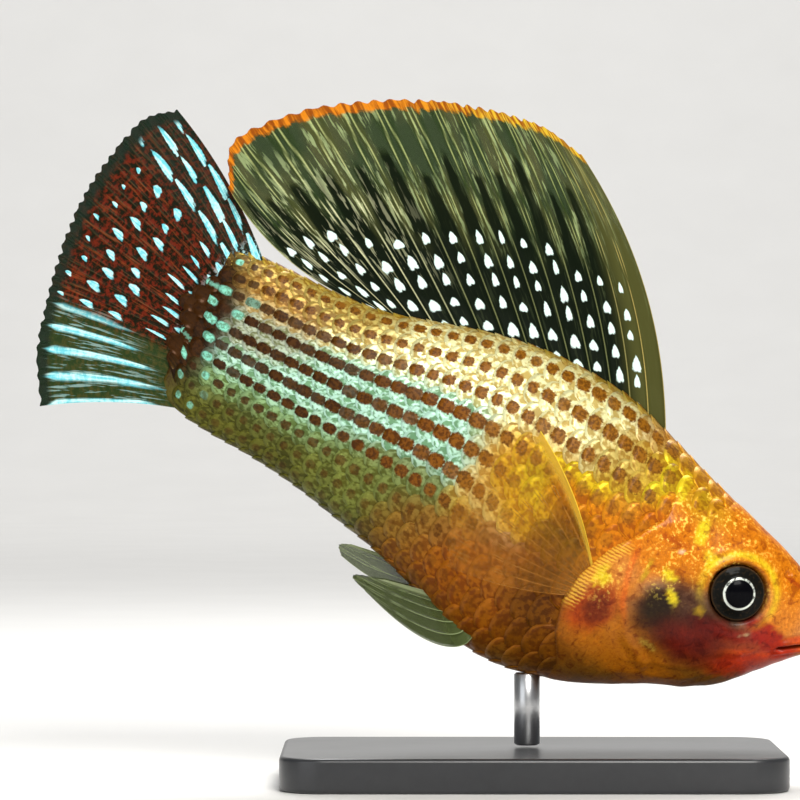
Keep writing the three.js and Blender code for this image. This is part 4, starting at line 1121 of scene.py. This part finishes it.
def make_fin(name, fin, material, slot, nodes, side=1, per_gap=12, rows=110, seed=1):
    """A fin as two faces and a rim round a thin web, with its rays raised in both faces."""
    gaps = fin["rays"] - 1
    t = np.linspace(0, 1, gaps * per_gap + 1)
    r = np.linspace(0, 1, rows + 1) ** 0.92
    R, T = np.meshgrid(r, t, indexing="ij")
    phase = T * gaps
    length = np.linalg.norm(fin_point(fin, T, np.ones_like(R)) - fin_point(fin, T, np.zeros_like(R)), axis=-1)
    luck = np.random.RandomState(seed).rand(gaps * 4 + 2)
    ragged = np.interp(phase[0] * 4, np.arange(len(luck)), luck)
    notch = np.sin(math.pi * phase[0] * 2) ** 2 * fin["scallop"] * (0.3 + 0.9 * ragged)
    held = R * (1 - R ** 6 * notch[None] / length)
    rise = ray_height(phase, R, gaps)
    thin = fin["root"] * (1 - smooth(0, 0.16, R)) + fin["web"] * (1 - 0.5 * R)
    half = thin + fin["ridge"] * rise * (1 - 0.72 * R)
    middle, normal = fin_point(fin, T, held), fin_normal(fin, T, held)
    ripple = 0.05 * (cloud(np.stack([phase * 0.8, held * length * 0.4, 0 * R + seed], -1), 1.0, seed) - 0.5) * R
    middle = middle + normal * ripple[..., None]
    points = np.concatenate([(middle + way * normal * half[..., None]).reshape(-1, 3) for way in (1, -1)])
    points[:, 1] *= side
    columns, count = len(t), R.size
    index, _ = patch(rows + 1, columns)
    rim = [(0, k) for k in range(columns - 1)] + [(k, columns - 1) for k in range(rows)] + \
          [(rows, k) for k in range(columns - 1, 0, -1)] + [(k, 0) for k in range(rows, 0, -1)]
    here = np.array([a * columns + b for a, b in rim])
    ahead = np.roll(here, -1)
    faces = np.concatenate([index[:, ::-1], index + count, np.stack([here, here + count, ahead + count, ahead], 1)])
    places = faces.ravel() % count
    bake = np.stack([T * 0.48 + 0.01, R * 0.97 + 0.015], -1).reshape(-1, 2)[places]
    bake[index.size:2 * index.size, 0] += 0.5
    ray_map = np.stack([phase, held * length], -1).reshape(-1, 2)[places]
    piece = build(name, posed(points), faces, {"RayMap": ray_map, "OFBake": bake},
                  {"Ray": np.tile(rise.ravel(), 2), "Reach": np.tile(R.ravel(), 2)}, flip=side < 0, material=material)
    return finish_piece(piece, slot, *nodes)


make_fin("sail", SAIL_FIN, SAIL, "sail", ["dorsal_fin"], seed=4)
make_fin("tail_fan", TAIL_FIN, TAIL_WEB, "tail_fin", ["caudal_fin"], rows=90, seed=9)
for hand, side in (("right", 1), ("left", -1)):
    make_fin("paddle_" + hand, PADDLE_FIN, PADDLE, "clear_fin", ["pectoral_fin_" + hand], side, 10, 60, 12)
    make_fin("belly_fin_" + hand, BELLY_FIN, BELLY_WEB, "clear_fin", ["pelvic_fin_" + hand], side, 12, 60, 15)
make_fin("rod_fin", ROD_FIN, BELLY_WEB, "clear_fin", ["anal_fin"], 1, 14, 60, 17)


# Eyes
def lathe(profile, steps):
    """A form turned about +Y from radius and height pairs, with its map of radius and turn."""
    profile = np.asarray(profile, float)
    turn = 2 * math.pi * np.arange(steps) / steps
    ring = np.stack([profile[:, :1] * np.cos(turn), np.repeat(profile[:, 1:], steps, 1),
                     profile[:, :1] * np.sin(turn)], -1)
    index, corners = patch(len(profile), steps, closed=True)
    return ring, index, corners


def make_eye(name, side):
    """An eyeball with a raised lens in front and a shallow back, turned a little forwards."""
    steps = 72
    dome = (EYE_RADIUS ** 2 + EYE_RISE ** 2) / (2 * EYE_RISE)
    radii = np.linspace(0.02, EYE_RADIUS, 34)
    height = np.sqrt(dome ** 2 - radii ** 2) - dome + EYE_RISE
    lens = 0.16 * np.sqrt(np.clip(1 - (radii / 1.68) ** 2, 0, 1)) - 0.05 * bump(radii - 1.85, 0.14)
    front = np.stack([radii, height + lens - 0.1 * smooth(1.9, 2.4, radii) * (1 - smooth(2.7, 3.1, radii))], -1)
    back = [(3.0, -0.6), (2.4, -1.4), (1.2, -1.9), (0.02, -2.0)]
    profile = np.concatenate([front, back])
    ring, index, corners = lathe(profile, steps)
    flank = float(skin_point(row_at(EYE_X), math.pi / 2)[1]) - 0.15
    c, s = math.cos(EYE_TURN), math.sin(EYE_TURN)
    x, y, z = ring[..., 0], ring[..., 1], ring[..., 2]
    placed = np.stack([x * c + y * s + EYE_X, side * (y * c - x * s + flank), z + EYE_Z], -1)
    i = corners[..., 0].astype(int)
    far = profile[:, 0][i] / EYE_RADIUS
    shown = np.where(i < len(radii), far, 1.0)
    iris = np.stack([shown, corners[..., 1] / steps], -1)
    turn = corners[..., 1] / steps * 2 * math.pi
    reach = np.where(i < len(radii), far * 0.4, 0.4 + 0.09 * (i - len(radii) + 1) / 4)
    bake = np.stack([0.5 + reach * np.cos(turn), 0.5 + reach * np.sin(turn)], -1)
    piece = build(name, posed(placed.reshape(-1, 3)), list(index),
                  {"IrisMap": iris.reshape(-1, 2), "OFBake": bake.reshape(-1, 2)}, flip=side > 0, material=EYE)
    return finish_piece(piece, "eye", name.replace("eyeball", "eye"))


make_eye("eyeball_right", -1)
make_eye("eyeball_left", 1)

# Stand
PLATE_SIZE = (58.0, 34.0, 4.0)


def make_plate():
    """A flat plate with round corners and eased edges."""
    length, width, height = PLATE_SIZE
    corner, ease = 5.0, 0.5
    outline = []
    for k, (sx, sy) in enumerate(((1, -1), (1, 1), (-1, 1), (-1, -1))):
        for a in np.linspace(-math.pi / 2, 0, 15) + k * math.pi / 2:
            c, s = math.cos(a), math.sin(a)
            outline.append((sx * (length / 2 - corner) + corner * c, sy * (width / 2 - corner) + corner * s, c, s))
    outline, count = np.array(outline), len(outline)
    rings = []
    for start, level in ((-math.pi / 2, ease), (0, height - ease)):
        for a in np.linspace(start, start + math.pi / 2, 6):
            ring = outline[:, :2] + outline[:, 2:] * (ease * math.cos(a) - ease)
            rings.append(np.insert(ring, 2, level + ease * math.sin(a), axis=1))
    flat = np.concatenate(rings)
    index, corners = patch(len(rings), count, closed=True)
    caps = [list(range(count)), list(range(len(flat) - 1, len(flat) - count - 1, -1))]
    faces = [face[::-1] for face in list(index) + caps]
    side = corners[:, ::-1] / (len(rings), count) * (0.12, 0.96) + (0.86, 0.02)
    ends = flat[np.concatenate(faces[-2:])]
    ends_map = ends[:, :2] / PLATE_SIZE[:2] * (0.6, 0.35) + (0.32, 0.22)
    ends_map[:, 1] += 0.40 * (ends[:, 2] > 1)
    bake = np.concatenate([side[..., ::-1].reshape(-1, 2), ends_map])
    piece = build("stand_plate", flat * MM, faces, {"OFBake": bake}, material=PLATE)
    for polygon in piece.data.polygons:
        polygon.use_smooth = len(polygon.vertices) == 4
    return finish_piece(piece, "stand", "stand_base")


make_plate()


def make_rod():
    """The round rod between plate and belly."""
    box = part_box("stand_rod")
    low, high = np.array(box[0]) / MM, np.array(box[1]) / MM
    centre = (low + high) / 2
    steps = 40
    profile = [(0.02, low[2]), (1.2, low[2]), (1.5, low[2] + 0.2), (1.5, high[2] - 0.2), (1.3, high[2]),
               (0.02, high[2])]
    ring, index, corners = lathe(profile, steps)
    placed = np.stack([ring[..., 0] + centre[0], -ring[..., 2], ring[..., 1]], -1)
    bake = np.stack([corners[..., 1] / steps * 0.96 + 0.02, corners[..., 0] / len(profile) * 0.96 + 0.02], -1)
    piece = build("stand_post", placed.reshape(-1, 3) * MM, list(index), {"OFBake": bake.reshape(-1, 2)},
                  material=ROD)
    return finish_piece(piece, "rod", "stand_rod")


make_rod()


# Floor, light and camera
def make_floor():
    """A pale floor that sweeps up behind, so that no corner shows."""
    start, turn, half = 1.1, 0.6, 3.0
    profile = [(-2.2, 0.0), (start, 0.0)]
    profile += [(start + turn * math.sin(a), turn - turn * math.cos(a)) for a in np.linspace(0.1, math.pi / 2, 18)]
    profile += [(start + turn, 2.4)]
    points, faces = [], []
    for y, z in profile:
        points += [(-half, y, z), (half, y, z)]
    for k in range(len(profile) - 1):
        faces.append([2 * k, 2 * k + 1, 2 * k + 3, 2 * k + 2])
    paper = finish("Pale paper", lambda b: {"Base Color": b.mix(b.noise(b.place(), 40.0), (0.72, 0.71, 0.69),
                                                               (0.76, 0.75, 0.73))}, Roughness=0.9)
    floor = build("floor", points, faces, material=paper)


make_floor()

# The photo's view in millimetres: its middle, its width, the camera's distance and the width of its film
VIEW_X, VIEW_Z = -15.26, 44.4
VIEW_WIDTH, VIEW_FAR, FILM = 93.02, 520.0, 36.0


def add_lamp(name, place, aim, size, power, colour=(1.0, 1.0, 1.0)):
    """A soft square lamp at a place, turned to what it lights."""
    lamp = bpy.data.lights.new(name, "AREA")
    lamp.size, lamp.energy, lamp.color = size, power, colour
    made = show(name, lamp)
    made.location = place
    made.rotation_euler = (Vector(place) - Vector(aim)).to_track_quat("Z", "Y").to_euler()


FISH = (-0.01, 0.0, 0.045)
add_lamp("key", (0.10, -0.42, 0.36), FISH, 0.24, 3.2, (1.0, 0.98, 0.94))
add_lamp("fill", (-0.40, -0.42, 0.10), FISH, 0.45, 0.8, (0.94, 0.97, 1.0))
add_lamp("rim", (0.05, 0.25, 0.36), FISH, 0.25, 1.4)
add_lamp("backdrop", (0.0, 0.9, 1.3), (0.0, 1.5, 0.1), 0.8, 14.0)
world = bpy.data.worlds.new("studio")
bpy.context.scene.world = world
world.use_nodes = True
world.node_tree.nodes["Background"].inputs["Color"].default_value = (0.86, 0.88, 0.90, 1)
world.node_tree.nodes["Background"].inputs["Strength"].default_value = 0.20
bpy.context.scene.view_settings.view_transform = "Standard"

lens = bpy.data.cameras.new("camera")
lens.sensor_width = FILM
lens.lens = FILM * VIEW_FAR / VIEW_WIDTH
lens.clip_start, lens.clip_end = 0.01, 20.0
camera = show("camera", lens)
camera.location = (VIEW_X * MM, -VIEW_FAR * MM, VIEW_Z * MM)
camera.rotation_euler = (math.pi / 2, 0, 0)
bpy.context.scene.camera = camera
